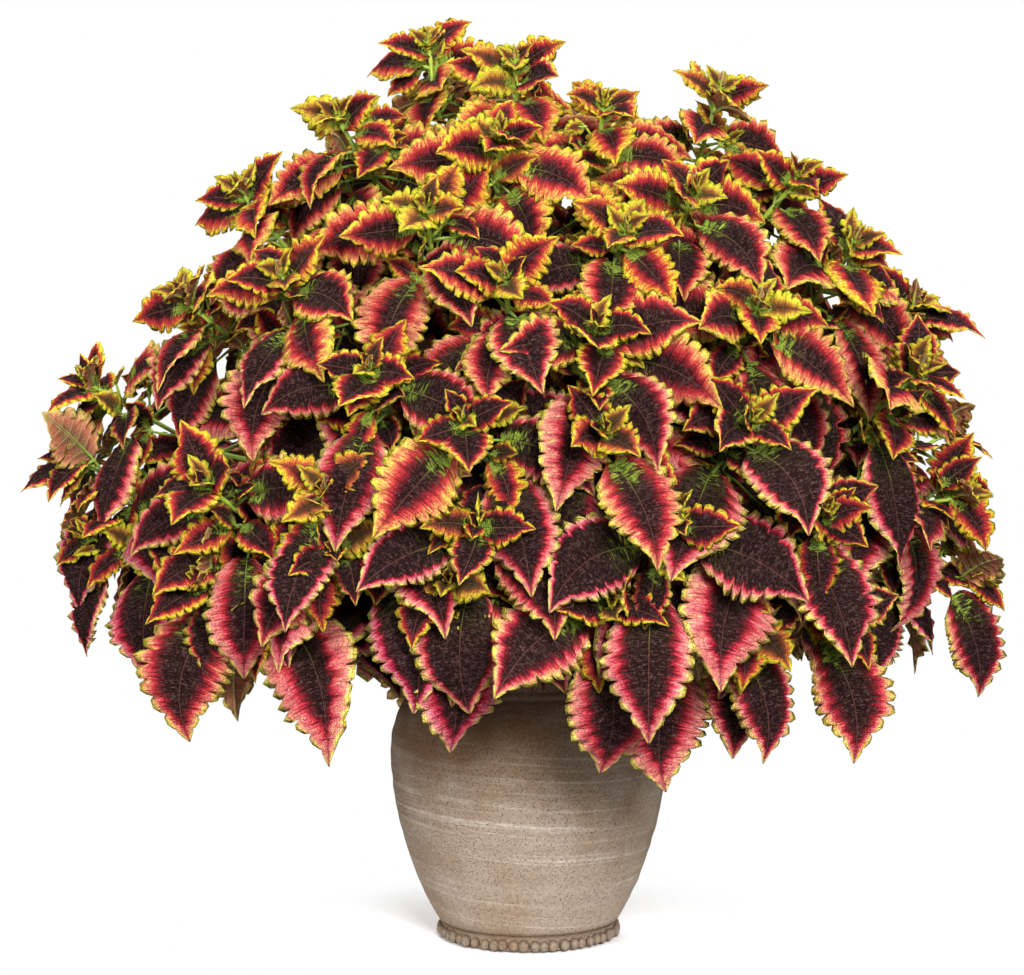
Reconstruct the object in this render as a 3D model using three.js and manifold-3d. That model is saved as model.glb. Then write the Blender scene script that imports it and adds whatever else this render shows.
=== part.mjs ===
// A potted coleus: a wheel-thrown clay pot, its soil, and a dome of leafy stems.
//
// Frame: millimetres, +Z up, origin on the ground at the middle of the pot's foot. The fullest
// side of the plant, its front, faces -Y.
//
// Each leafy stem is one grown piece: a square stem that stands in a plain hole in the soil,
// its side branches, and opposite pairs of toothed leaves, each pair a quarter turn from the
// last. A stem or a leaf that would meet another is led or nudged aside until it is clear.
import * as THREE from "three";
import { mergeVertices } from "three/addons/utils/BufferGeometryUtils.js";
import Module from "manifold-3d";

const wasm = await Module();
wasm.setup();
const { Manifold } = wasm;

// ---- Driving dimensions, mm ----

const POT_SIDES = 30;
// Outside of the pot from its foot to its lip, [radius, height].
const POT_OUTSIDE = [
  [80, 0],
  [80, 13],
  [98, 48],
  [112, 85],
  [122, 131],
  [124.5, 168],
  [118, 208],
  [100, 230],
  [106, 234],
  [106, 250],
];
// Inside of the pot from its lip down to its floor.
const POT_INSIDE = [
  [98, 250],
  [92, 230],
  [114, 168],
  [102, 85],
  [70, 16],
];
// The ring of beads round the foot.
const BEADS = { count: 36, ringRadius: 78.8, height: 6.5, radius: 5.6 };

// The soil fills the pot to its neck and stands a gap off its wall and floor.
const SOIL = { sides: 18, gap: 1, dome: 5 };
// The hole that each stem stands in, and how far above its bottom the stem ends.
const HOLE = { sides: 6, depth: 46, clearance: 1.2, below: 2 };

// The dome that the shoot tips lie on: half its width at a height, and how deep it is
// front to back for its width.
const CROWN = { middle: 395, above: 410, below: 250, halfWidth: 395, depthShare: 0.83 };
// The front is laid out by eye from this far off and this high.
const EYE = { distance: 3300, height: 790 };

// Leafy stems. Each row is one shoot tip: [side, x, z, turn, blade]. x and z say where the tip
// shows from the front, and side how deep it lies, from -1 on the front of the dome to 1 on
// its back. turn is the angle of its lowest leaf pair round the tip, in degrees (0 points left
// and 90 down), and blade is the length of its longest leaves. The first row of a stem is its
// leader, and the others are its side branches.
const LEAFY_STEMS = {
  leafy_stem_top: [
    [-1, -88, 797, 20, 84],
    [-1, -25, 716, 75, 88],
    [-1, -166, 732, 150, 86],
    [0.7, -70, 770, 60, 86],
  ],
  leafy_stem_middle: [
    [-1, 66, 742, 120, 84],
    [-1, -12, 780, 10, 84],
    [-1, 85, 632, 165, 96],
    [0.8, 60, 725, 40, 90],
  ],
  leafy_stem_peak_right: [
    [-1, 168, 757, 165, 82],
    [-1, 146, 668, 60, 88],
    [-1, 236, 680, 20, 86],
    [0.8, 205, 680, 80, 92],
  ],
  leafy_stem_peak_left: [
    [-0.4, -178, 684, 20, 88],
    [-1, -90, 652, 60, 96],
    [-0.4, -252, 668, 170, 90],
    [0.8, -160, 690, 100, 92],
  ],
  leafy_stem_right: [
    [-1, 286, 622, 150, 98],
    [-1, 203, 566, 95, 98],
    [0, 340, 566, 30, 96],
  ],
  leafy_stem_left: [
    [-1, -218, 592, 15, 96],
    [-1, -140, 508, 60, 104],
    [-0.5, -304, 574, 160, 92],
    [-1, -388, 498, 40, 98],
    [0.9, -240, 590, 140, 98],
  ],
  leafy_stem_front: [
    [-1, 60, 545, 80, 108],
    [-1, -58, 462, 110, 112],
    [-1, 66, 452, 45, 112],
    [-1, -20, 590, 20, 98],
  ],
  leafy_stem_flank_right: [
    [-1, 345, 508, 140, 106],
    [-1, 195, 462, 65, 112],
    [-0.7, 382, 398, 170, 104],
    [0.6, 372, 455, 70, 104],
    [-0.4, 392, 326, 75, 112],
  ],
  leafy_stem_flank_left: [
    [-1, -285, 405, 60, 110],
    [-0.6, -405, 432, 20, 102],
    [-0.8, -388, 360, 75, 106],
    [-1, -285, 318, 95, 135],
    [0.6, -380, 440, 120, 104],
  ],
  leafy_stem_low_left: [
    [-1, -178, 398, 120, 116],
    [-1, -45, 368, 85, 108],
    [-1, -168, 346, 95, 106],
    [-1, -70, 318, 60, 104],
  ],
  leafy_stem_low_right: [
    [-1, 130, 370, 100, 118],
    [-1, 72, 298, 105, 122],
    [-1, 262, 380, 70, 112],
    [-1, 192, 280, 80, 120],
    [-1, 278, 290, 75, 118],
  ],
  leafy_stem_back: [
    [1, 15, 620, 60, 106],
    [1, -95, 510, 110, 110],
    [1, 115, 505, 75, 110],
    [1, 10, 395, 95, 114],
  ],
  leafy_stem_back_left: [
    [1, -210, 430, 50, 112],
    [1, -270, 310, 75, 114],
    [1, -90, 300, 120, 114],
  ],
  leafy_stem_back_right: [
    [1, 225, 440, 130, 112],
    [1, 290, 315, 100, 114],
    [1, 105, 295, 85, 114],
  ],
};

const STEM = {
  footRadius: [72, 16], // how far out a leader stands in the soil, for a low tip and a high one
  tipHeight: [330, 790],
  leaderRadius: [4.6, 2], // half the square section's diagonal, at the foot and at the tip
  branchRadius: [2.3, 1.9],
  leaderSteps: 6, // straight steps along its curve
  branchSteps: 3,
  forkSteps: [4, 5, 3, 4, 5], // the point of the leader that each branch leaves from
  spread: 2, // how strongly a branch leaves towards its own tip rather than upwards
  uplift: 0.85, // how strongly a shoot turns upwards from the dome's outward direction
  sweep: 0.35, // length of a curve's two handles, for its span
  bareBelow: 14, // clear length of stem under the lowest leaf pair
  nodeHalf: 1.6, // half the height of stem that a petiole grows from
};

// Leaf pairs of a shoot, from the lowest up: distance below the tip, opening from the stem in
// degrees, blade and petiole length for the shoot's blade, droop in degrees, teeth a side and
// corners along the rib.
const PAIRS = [
  { below: 58, open: 84, blade: 1.0, petiole: 0.3, droop: 70, teeth: 4, ribs: 2 },
  { below: 28, open: 72, blade: 0.88, petiole: 0.2, droop: 58, teeth: 3, ribs: 1 },
  { below: 3, open: 48, blade: 0.6, petiole: 0, droop: 30, teeth: 2, ribs: 1 },
];

const LEAF = {
  halfWidth: 0.32, // of the blade's length, at its widest
  fullness: [0.6, 1.3], // powers of the outline: how it widens, and how it narrows to its tip
  toothed: [0.03, 0.88], // the stretch of the blade that has teeth
  notch: 0.8, // width at a notch for the width at a tooth
  fold: 0.2, // rise of the margin for its distance from the rib
  ribHalfThickness: [1, 0.5], // at the base and at the tip
  petioleRadius: 1.4,
  facing: { up: 0.5, out: 0.6, front: 0.6 }, // how strongly a blade's face turns each way
  mostRoll: 1.3, // how far a blade rolls about its rib to face that way, in radians
  leastLean: 0.58, // out of the side of its stem, see leanOut
};

// How much one leaf may differ from the next: degrees of yaw, opening and droop, and share of
// its length.
const VARIETY = { yaw: 24, open: 14, droop: 16, size: 0.16 };

// Ways to lead a stem clear, tried in turn: steps by which its fork moves up its leader, and
// its bow sideways as a share of its span.
const ROUTES = [
  [0, 0],
  [0, 0.1],
  [0, -0.1],
  [1, 0],
  [-1, 0],
  [0, 0.2],
  [0, -0.2],
  [1, 0.15],
  [1, -0.15],
  [-1, 0.2],
  [-1, -0.2],
  [0, 0.35],
  [0, -0.35],
];

// Ways to nudge a leaf clear, tried in turn: [yaw, lift, more droop] in degrees, and scale.
const NUDGES = [
  [0, 0, 0, 1],
  [0, 10, 0, 1],
  [0, -10, 0, 1],
  [12, 0, 0, 1],
  [-12, 0, 0, 1],
  [0, 0, 22, 1],
  [0, 0, -22, 1],
  [16, 12, 0, 1],
  [-16, 12, 0, 1],
  [16, -12, 14, 1],
  [-16, -12, 14, 1],
  [26, 0, -20, 1],
  [-26, 0, -20, 1],
  [0, 24, -20, 0.9],
  [0, -24, 20, 0.9],
  [30, 14, 10, 0.86],
  [-30, 14, 10, 0.86],
  [38, -16, 20, 0.8],
  [-38, -16, 20, 0.8],
  [0, 36, -34, 0.8],
  [20, 26, -20, 0.7],
  [-20, 26, -20, 0.7],
  [0, 0, 0, 0.6],
  [0, 30, 0, 0.6],
];
// Room kept round each leaf's faces and margin, each stem and the pot. fromRoot is the stretch
// of petiole at a leaf's root that needs no room of its own, and touch is the volume that a
// leaf may share with the stem it grows from.
const CLEARANCE = { thickness: 1.2, margin: 1.5, stem: 1.6, pot: 2, fromRoot: 6, touch: 0.005 };
const NO_SWELL = { thickness: 0, margin: 0 };

const COLOURS = {
  pot: { color: 0xa08d77, roughness: 0.9, metalness: 0 },
  soil: { color: 0x2d2119, roughness: 1, metalness: 0 },
  foliage: { color: 0x8c2f3a, roughness: 0.6, metalness: 0 },
};

const UP = new THREE.Vector3(0, 0, 1);
const SQUARE = [
  [1, 1],
  [-1, 1],
  [-1, -1],
  [1, -1],
];
// The corners of a petiole: top, right, bottom and left.
const DIAMOND = [
  [0, 1],
  [1, 0],
  [0, -1],
  [-1, 0],
];

const radians = THREE.MathUtils.degToRad;

// A repeatable number from 0 to 1 for any number.
function scatter(n) {
  const s = Math.sin(n * 12.9898) * 43758.5453;
  return s - Math.floor(s);
}

// A repeatable number within half a range either side of 0.
function vary(n, range) {
  return (scatter(n) - 0.5) * range;
}

function taper([from, to], share) {
  return from + (to - from) * share;
}

// ---- Solids ----

function solidFrom(positions, indices) {
  return new Manifold(
    new wasm.Mesh({
      numProp: 3,
      vertProperties: new Float32Array(positions),
      triVerts: new Uint32Array(indices),
    }),
  );
}

function solidOf(geometry) {
  const bare = geometry.clone();
  bare.deleteAttribute("normal");
  bare.deleteAttribute("uv");
  const merged = mergeVertices(bare, 1e-4);
  return solidFrom(merged.attributes.position.array, merged.index.array);
}

function geometryOf(solid) {
  const { vertProperties, triVerts } = solid.getMesh();
  const geometry = new THREE.BufferGeometry();
  geometry.setAttribute("position", new THREE.BufferAttribute(vertProperties, 3));
  geometry.setIndex(new THREE.BufferAttribute(triVerts, 1));
  geometry.computeVertexNormals();
  return geometry;
}

// A solid of revolution about Z from a profile that starts and ends on the axis.
function turned(profile, sides) {
  const points = profile.map(([r, z]) => new THREE.Vector2(r, z));
  return solidOf(new THREE.LatheGeometry(points, sides).rotateX(Math.PI / 2));
}

// A closed surface while it is put together.
class Shell {
  points = [];
  triangles = [];

  // Adds a point beside a centre, by distances along two directions.
  place(centre, right, across, up, rise) {
    const point = centre.clone().addScaledVector(right, across).addScaledVector(up, rise);
    return this.points.push(point) - 1;
  }

  // The sides of a tube between two loops of four, both anticlockwise seen from its far end.
  // open names the sides that are left out.
  join(near, far, open = []) {
    for (let c = 0; c < 4; c++) {
      if (open.includes(c)) continue;
      const next = (c + 1) % 4;
      this.triangles.push([near[c], near[next], far[next]], [near[c], far[next], far[c]]);
    }
  }

  capStart([a, b, c, d]) {
    this.triangles.push([a, c, b], [a, d, c]);
  }

  capEnd([a, b, c, d]) {
    this.triangles.push([a, b, c], [a, c, d]);
  }

  // Triangles between two chains that end at one vertex, stepping along whichever is behind.
  strip(a, b) {
    let i = 0;
    let j = 0;
    while (i + 2 < a.length || j + 2 < b.length) {
      const stepA = j + 2 === b.length || (i + 2 < a.length && a[i + 1].share < b[j + 1].share);
      const next = stepA ? a[i + 1] : b[j + 1];
      this.triangles.push([a[i].vertex, b[j].vertex, next.vertex]);
      if (stepA) i += 1;
      else j += 1;
    }
    this.triangles.push([a[i].vertex, b[j].vertex, a[i + 1].vertex]);
  }

  solid() {
    return solidFrom(this.points.flatMap((p) => [p.x, p.y, p.z]), this.triangles.flat());
  }
}

// ---- Pot and soil ----

function pot() {
  const floor = POT_INSIDE.at(-1)[1];
  let body = turned([[0, 0], ...POT_OUTSIDE, ...POT_INSIDE, [0, floor]], POT_SIDES);
  for (let i = 0; i < BEADS.count; i++) {
    const bead = new THREE.OctahedronGeometry(BEADS.radius);
    bead.translate(BEADS.ringRadius, 0, BEADS.height);
    bead.rotateZ((i / BEADS.count) * 2 * Math.PI);
    body = body.add(solidOf(bead));
  }
  return body;
}

// The outside of the pot, swollen and closed over its mouth: no leaf comes into it.
function potRoom() {
  const swollen = POT_OUTSIDE.map(([r, z]) => [r + CLEARANCE.pot, z]);
  const lid = POT_OUTSIDE.at(-1)[1];
  return turned([[0, 0], ...swollen, [0, lid]], POT_SIDES);
}

function soilTop() {
  return POT_INSIDE[1][1];
}

function soil(stems) {
  const [, ...wall] = POT_INSIDE;
  const side = wall.reverse().map(([r, z]) => [r - SOIL.gap, z]);
  side[0][1] += SOIL.gap;
  const profile = [[0, side[0][1]], ...side, [0, soilTop() + SOIL.dome]];
  let body = turned(profile, SOIL.sides);
  const radius = STEM.leaderRadius[0] + HOLE.clearance;
  for (const { shoots } of stems) {
    const { x, y } = shoots[0].points[0];
    const hole = new THREE.CylinderGeometry(radius, radius, HOLE.depth * 2, HOLE.sides);
    hole.rotateX(Math.PI / 2).translate(x, y, soilTop());
    body = body.subtract(solidOf(hole));
  }
  return body;
}

// ---- Stems ----

// Half the width of the crown's dome at a height.
function crownHalfWidth(z) {
  const rise = z - CROWN.middle;
  const share = rise / (rise > 0 ? CROWN.above : CROWN.below);
  return CROWN.halfWidth * Math.sqrt(Math.max(0, 1 - share * share));
}

// Where a shoot tip lies on the dome. What is nearer the eye shows further from its level and
// from the middle, so a tip is drawn in by its share of the way to the eye.
function tipPoint(side, x, z) {
  const half = crownHalfWidth(z);
  const depth = side * CROWN.depthShare * Math.sqrt(Math.max(0, half * half - x * x));
  const near = 1 + depth / EYE.distance;
  return new THREE.Vector3(x * near, depth, EYE.height + (z - EYE.height) * near);
}

// A shoot's own direction: outwards from the dome, turned up to the light.
function tipAxis(tip) {
  const rise = tip.z - CROWN.middle;
  const out = new THREE.Vector3(
    tip.x / CROWN.halfWidth,
    tip.y / (CROWN.halfWidth * CROWN.depthShare),
    rise / (rise > 0 ? CROWN.above : CROWN.below),
  );
  return out.normalize().addScaledVector(UP, STEM.uplift).normalize();
}

// A shoot's tip and its own directions, from its row in LEAFY_STEMS.
function shootOf([side, x, z, turn, blade], order) {
  const tip = tipPoint(side, x, z);
  const radii = order === 0 ? STEM.leaderRadius : STEM.branchRadius;
  return { tip, side, axis: tipAxis(tip), turn: radians(turn), blade, radii, leaves: [] };
}

// Where a leader leaves the soil: on its tip's side, and further out the lower its tip is.
function leaderFoot(tip) {
  const [low, high] = STEM.tipHeight;
  const radius = taper(STEM.footRadius, (tip.z - low) / (high - low));
  const foot = new THREE.Vector3(tip.x, tip.y, 0).setLength(radius);
  return foot.setZ(soilTop() + SOIL.dome);
}

// A smooth curve from a start, left in a given direction, to a shoot's tip, reached along the
// shoot's own axis, in straight steps. bow is a share of its span.
function curveTo({ tip, axis }, start, leave, bow, steps) {
  const reach = tip.clone().sub(start);
  const span = reach.length();
  const sideways = reach.cross(UP).normalize().multiplyScalar(bow * span);
  const curve = new THREE.CubicBezierCurve3(
    start,
    start.clone().addScaledVector(leave, span * STEM.sweep).add(sideways),
    tip.clone().addScaledVector(axis, -span * STEM.sweep).add(sideways),
    tip,
  );
  return curve.getPoints(steps);
}

// A leader's points, from the bottom of its stem in the soil to its tip.
function leaderRoute(shoot, [, bow]) {
  const foot = leaderFoot(shoot.tip);
  const bottom = foot.clone().setZ(soilTop() - HOLE.depth + HOLE.below);
  return [bottom, ...curveTo(shoot, foot, UP, bow, STEM.leaderSteps)];
}

// A branch's points, from inside its leader to its tip. order counts the leader's branches.
function branchRoute(shoot, leader, order, [shift, bow]) {
  const start = leader.points[STEM.forkSteps[order - 1] + shift].clone();
  const leave = shoot.tip.clone().sub(start).normalize().multiplyScalar(STEM.spread).add(UP);
  return curveTo(shoot, start, leave.normalize(), bow, STEM.branchSteps);
}

// The points of a stem's first shoot, its leader, or of another, a branch, led a given way.
function shootPoints({ shoots }, order, route) {
  const [leader] = shoots;
  const shoot = shoots[order];
  return order === 0 ? leaderRoute(shoot, route) : branchRoute(shoot, leader, order, route);
}

function pathLength(points) {
  return points.slice(1).reduce((sum, point, k) => sum + point.distanceTo(points[k]), 0);
}

// The point a distance back from a stem's tip.
function pointBelow(points, distance) {
  let left = distance;
  for (let k = points.length - 1; k > 0; k--) {
    const length = points[k].distanceTo(points[k - 1]);
    if (left <= length) return points[k].clone().lerp(points[k - 1], left / length);
    left -= length;
  }
  return points[0].clone();
}

// The stations of a shoot's stem: where its bare part turns, and then one for each leaf pair.
// Each has its place, its direction and how far along the stem it is.
function stemStations(points) {
  const length = pathLength(points);
  const bareLength = length - PAIRS[0].below - STEM.bareBelow;
  const bare = points
    .map((point, k) => ({ point, reach: pathLength(points.slice(0, k + 1)) }))
    .filter(({ reach }) => reach < bareLength);
  const nodes = PAIRS.map(({ below }, pair) => ({
    point: pointBelow(points, below),
    reach: length - below,
    pair,
  }));
  const stations = [...bare, ...nodes];
  return stations.map((station, k) => {
    const ahead = stations[Math.min(k + 1, stations.length - 1)].point;
    const behind = stations[Math.max(k - 1, 0)].point;
    const along = ahead.clone().sub(behind).normalize();
    return { ...station, along, share: station.reach / length };
  });
}

// The way that a leaf at an angle round its shoot points, square to the shoot.
function pairDirection({ axis, turn }, angle) {
  const left = axis.clone().cross(new THREE.Vector3(0, 1, 0)).normalize();
  const down = axis.clone().cross(left);
  left.multiplyScalar(Math.cos(turn + angle));
  return left.addScaledVector(down, Math.sin(turn + angle));
}

// A square loop across a stem. Its sides look the ways that the shoot's leaf pairs point.
function stemLoop(shell, shoot, { point, along, share }, offset, swell) {
  const half = (taper(shoot.radii, share) + swell) * Math.SQRT1_2;
  const face = pairDirection(shoot, 0);
  const across = face.addScaledVector(along, -face.dot(along)).normalize();
  const up = along.clone().cross(across);
  const centre = point.clone().addScaledVector(along, offset);
  return SQUARE.map(([a, b]) => shell.place(centre, across, a * half, up, b * half));
}

// The square loops just under and just over a leaf pair.
function nodeLoops(shell, shoot, station, swell = 0) {
  const at = (offset) => stemLoop(shell, shoot, station, offset, swell);
  return [at(-STEM.nodeHalf), at(STEM.nodeHalf)];
}

// The side of the stem that a leaf grows from, and the loop of four round that side.
function leafSide({ pair, hand }) {
  return (pair + 2 * hand + 3) % 4;
}

function sideLoop(side, lower, upper) {
  const next = (side + 1) % 4;
  return [upper[next], upper[side], lower[side], lower[next]];
}

// A shoot as one closed surface: its stem and the leaves it has so far, each grown from a
// side of the stem between two loops.
function shootSolid(shoot, swell = 0) {
  const shell = new Shell();
  let last = null;
  const advance = (loop, open) => {
    if (last) shell.join(last, loop, open);
    else shell.capStart(loop);
    last = loop;
  };
  for (const station of stemStations(shoot.points)) {
    if (station.pair === undefined) {
      advance(stemLoop(shell, shoot, station, 0, swell));
      continue;
    }
    const leaves = shoot.leaves.filter(({ pair }) => pair === station.pair);
    const [lower, upper] = nodeLoops(shell, shoot, station, swell);
    advance(lower);
    advance(upper, leaves.map(leafSide));
    for (const leaf of leaves) addLeaf(shell, leaf.pose, sideLoop(leafSide(leaf), lower, upper));
  }
  shell.capEnd(last);
  return shell.solid();
}

// A leaf on its own, from the side of its stem.
function leafSolid(shoot, leaf) {
  const shell = new Shell();
  const station = stemStations(shoot.points).find(({ pair }) => pair === leaf.pair);
  const root = sideLoop(leafSide(leaf), ...nodeLoops(shell, shoot, station));
  shell.capStart(root);
  addLeaf(shell, leaf.pose, root);
  return shell.solid();
}

// ---- Leaves ----

// The way that the faces of a shoot's leaves turn: to the sky, out from the plant and, on
// all but its back, to the front.
function leafFacing({ tip, side }) {
  const { up, out, front } = LEAF.facing;
  const facing = new THREE.Vector3(tip.x, tip.y, 0).setLength(out).addScaledVector(UP, up);
  if (side < 0.5) facing.y -= front;
  return facing.normalize();
}

// Where a leaf grows and how it lies: its root, the way it sets off, how far it droops, its
// lengths and its roll about its rib. hand tells a pair's two leaves apart, and nudge is a row
// of NUDGES.
function leafPose(shoot, pair, hand, serial, [yaw, lift, moreDroop, scale]) {
  const spec = PAIRS[pair];
  const angle = yaw + vary(serial, VARIETY.yaw) + pair * 90 + hand * 180;
  const open = radians(spec.open - lift + vary(serial + 0.3, VARIETY.open));
  const start = shoot.axis.clone().multiplyScalar(Math.cos(open));
  start.addScaledVector(pairDirection(shoot, radians(angle)), Math.sin(open));
  const size = shoot.blade * scale * (1 + vary(serial + 0.6, VARIETY.size));
  const pose = {
    root: pointBelow(shoot.points, spec.below),
    level: new THREE.Vector3(start.x, start.y, 0).normalize(),
    rise: Math.asin(start.z),
    droop: radians(spec.droop + moreDroop + vary(serial + 0.8, VARIETY.droop)),
    petiole: size * spec.petiole,
    blade: size * spec.blade,
    roll: 0,
    teeth: spec.teeth,
    ribs: spec.ribs,
  };
  const middle = ribFrame(pose, pose.petiole + pose.blade / 2);
  const facing = leafFacing(shoot);
  const roll = Math.atan2(facing.dot(middle.side), facing.dot(middle.normal));
  return { ...pose, roll: THREE.MathUtils.clamp(roll, -LEAF.mostRoll, LEAF.mostRoll) };
}

// The rib at a distance from the root: its slope falls evenly along its length, so that it is
// part of a circle in an upright plane, and the face is rolled about it alike all the way.
// Returns the point, the face's normal and its side.
function ribFrame({ root, level, rise, droop, petiole, blade, roll }, distance) {
  const rate = droop / (petiole + blade);
  const slope = rise - rate * distance;
  const forward = (Math.sin(rise) - Math.sin(slope)) / rate;
  const upward = (Math.cos(slope) - Math.cos(rise)) / rate;
  const point = root.clone().addScaledVector(level, forward).addScaledVector(UP, upward);
  const along = level.clone().multiplyScalar(Math.cos(slope));
  along.addScaledVector(UP, Math.sin(slope));
  const across = level.clone().cross(UP);
  const above = across.clone().cross(along);
  const normal = above.multiplyScalar(Math.cos(roll)).addScaledVector(across, Math.sin(roll));
  return { point, normal, side: along.cross(normal) };
}

// Half the blade's width at a share of its length, as a share of its length: an egg-shaped
// outline with a drawn-out tip.
function outlineWidth(share) {
  const [a, b] = LEAF.fullness;
  const widest = a / (a + b);
  const peak = widest ** a * (1 - widest) ** b;
  return (LEAF.halfWidth * share ** a * (1 - share) ** b) / peak;
}

// The four corners of a petiole at a distance from its root.
function petioleLoop(shell, pose, distance, radius) {
  const { point, normal, side } = ribFrame(pose, distance);
  return DIAMOND.map(([a, b]) => shell.place(point, side, a * radius, normal, b * radius));
}

// A loop of four at a leaf's root, started from the corner that twists its petiole least.
function untwisted(shell, pose, loop) {
  const { normal, side } = ribFrame(pose, pose.petiole);
  const fit = (start) =>
    DIAMOND.reduce((sum, [a, b], i) => {
      const corner = shell.points[loop[(start + i) % 4]];
      return sum + a * corner.dot(side) + b * corner.dot(normal);
    }, 0);
  const start = [0, 1, 2, 3].reduce((best, k) => (fit(k) > fit(best) ? k : best), 0);
  return [...loop.slice(start), ...loop.slice(0, start)];
}

// Grows a leaf out of a loop of four: its petiole, and a blade whose two faces share the
// toothed margin, are split into triangles alike, and part along the rib.
function addLeaf(shell, pose, loop, swell = NO_SWELL) {
  const { petiole, blade, teeth, ribs } = pose;
  const radius = LEAF.petioleRadius + swell.thickness;
  const root = untwisted(shell, pose, loop);
  const base = petiole > 0 ? petioleLoop(shell, pose, petiole, radius) : root;
  if (petiole > 0) shell.join(root, base);
  const corner = (share, across, rise) => {
    const { point, normal, side } = ribFrame(pose, petiole + share * blade);
    return { share, vertex: shell.place(point, side, across, normal, rise) };
  };
  const end = corner(1, 0, 0);
  const margin = (start, hand) => {
    const chain = [{ share: 0, vertex: start }];
    for (let i = 1; i < 2 * teeth; i++) {
      const share = taper(LEAF.toothed, i / (2 * teeth));
      const cut = i % 2 === 1 ? 1 : LEAF.notch;
      const width = outlineWidth(share) * blade * cut + swell.margin;
      chain.push(corner(share, hand * width, LEAF.fold * width));
    }
    return [...chain, end];
  };
  const rib = (start, hand) => {
    const chain = [{ share: 0, vertex: start }];
    for (let i = 1; i <= ribs; i++) {
      const share = i / (ribs + 1);
      chain.push(corner(share, 0, hand * (taper(LEAF.ribHalfThickness, share) + swell.thickness)));
    }
    return [...chain, end];
  };
  const top = rib(base[0], 1);
  const right = margin(base[1], 1);
  const bottom = rib(base[2], -1);
  const left = margin(base[3], -1);
  shell.strip(top, right);
  shell.strip(right, bottom);
  shell.strip(bottom, left);
  shell.strip(left, top);
}

// The room that a leaf takes up, but for the start of its petiole.
function leafRoom(pose, swell) {
  const shell = new Shell();
  const radius = LEAF.petioleRadius + swell.thickness;
  const start = Math.min(CLEARANCE.fromRoot, pose.petiole + CLEARANCE.fromRoot / 2);
  const root = petioleLoop(shell, pose, start, radius);
  shell.capStart(root);
  addLeaf(shell, pose, root, swell);
  return shell.solid();
}

// ---- Growing the plant ----

// A solid that others keep clear of, and the stem that it is part of.
function obstacle(stem, solid, isLeaf = false) {
  return { stem, solid, isLeaf, box: solid.boundingBox() };
}

function boxesMeet(a, b) {
  return [0, 1, 2].every((k) => a.min[k] < b.max[k] && b.min[k] < a.max[k]);
}

function isClear(solid, obstacles) {
  const box = solid.boundingBox();
  return obstacles.every((o) => !boxesMeet(o.box, box) || o.solid.intersect(solid).isEmpty());
}

// Leads every leader clear of the others, and then every branch. Returns the room they take.
function growStems(stems) {
  const obstacles = [];
  const mostShoots = Math.max(...stems.map(({ shoots }) => shoots.length));
  for (let order = 0; order < mostShoots; order++) {
    for (const stem of stems.filter(({ shoots }) => order < shoots.length)) {
      const shoot = stem.shoots[order];
      const others = obstacles.filter((o) => o.stem !== stem);
      const isWayClear = (route) => {
        shoot.points = shootPoints(stem, order, route);
        return isClear(shootSolid(shoot, CLEARANCE.stem), others);
      };
      if (!ROUTES.some(isWayClear)) throw new Error(`${stem.name} finds no clear way`);
      obstacles.push(obstacle(stem, shootSolid(shoot, CLEARANCE.stem)));
      stem.bare.push(shootSolid(shoot));
    }
  }
  return obstacles;
}

// How far a leaf's start leans out of the side of the stem that it grows from: 0 is along the
// side and 1 is straight out of it.
function leanOut({ shoot, pair, hand, pose }) {
  const { along } = stemStations(shoot.points).find((station) => station.pair === pair);
  const out = pairDirection(shoot, radians(pair * 90 + hand * 180));
  out.addScaledVector(along, -out.dot(along)).normalize();
  return out.dot(pose.level) * Math.cos(pose.rise) + out.z * Math.sin(pose.rise);
}

// Whether a leaf leans well out of its stem and shares no room with the solids of its own plant.
function isFree(leaf, own) {
  const solid = leafSolid(leaf.shoot, leaf);
  const shares = (other) => Math.abs(solid.intersect(other).volume()) > CLEARANCE.touch;
  return leanOut(leaf) > LEAF.leastLean && !own.some(shares);
}

// Hangs on every shoot the leaves that find room, pair by pair from the lowest up.
function growLeaves(stems, obstacles) {
  const grow = (stem, order, pair, hand) => {
    const shoot = stem.shoots[order];
    const serial = stem.serial * 100 + order * 10 + pair * 2 + hand;
    const others = obstacles.filter((o) => o.stem !== stem || o.isLeaf);
    const across = shoot.leaves.filter((leaf) => leaf.pair === pair);
    const own = [...stem.bare, ...across.map((leaf) => leafSolid(shoot, leaf))];
    for (const nudge of NUDGES) {
      const leaf = { shoot, pair, hand, pose: leafPose(shoot, pair, hand, serial, nudge) };
      const room = leafRoom(leaf.pose, CLEARANCE);
      if (isClear(room, others) && isFree(leaf, own)) {
        shoot.leaves.push(leaf);
        obstacles.push(obstacle(stem, room, true));
        return;
      }
    }
  };
  for (const pair of PAIRS.keys()) {
    for (const stem of stems) {
      for (const order of stem.shoots.keys()) {
        grow(stem, order, pair, 0);
        grow(stem, order, pair, 1);
      }
    }
  }
}

const stems = Object.entries(LEAFY_STEMS).map(([name, rows], i) => ({
  name,
  serial: i + 1,
  shoots: rows.map(shootOf),
  bare: [],
}));
growLeaves(stems, [obstacle(null, potRoom()), ...growStems(stems)]);

const coleus = new THREE.Group();
function addNode(name, solid, colour) {
  const mesh = new THREE.Mesh(geometryOf(solid), new THREE.MeshStandardMaterial(colour));
  mesh.name = name;
  coleus.add(mesh);
}
addNode("pot", pot(), COLOURS.pot);
addNode("soil", soil(stems), COLOURS.soil);
for (const { name, shoots } of stems) {
  const solids = shoots.map((shoot) => shootSolid(shoot));
  addNode(name, Manifold.union(solids), COLOURS.foliage);
}

export default coleus;
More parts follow.
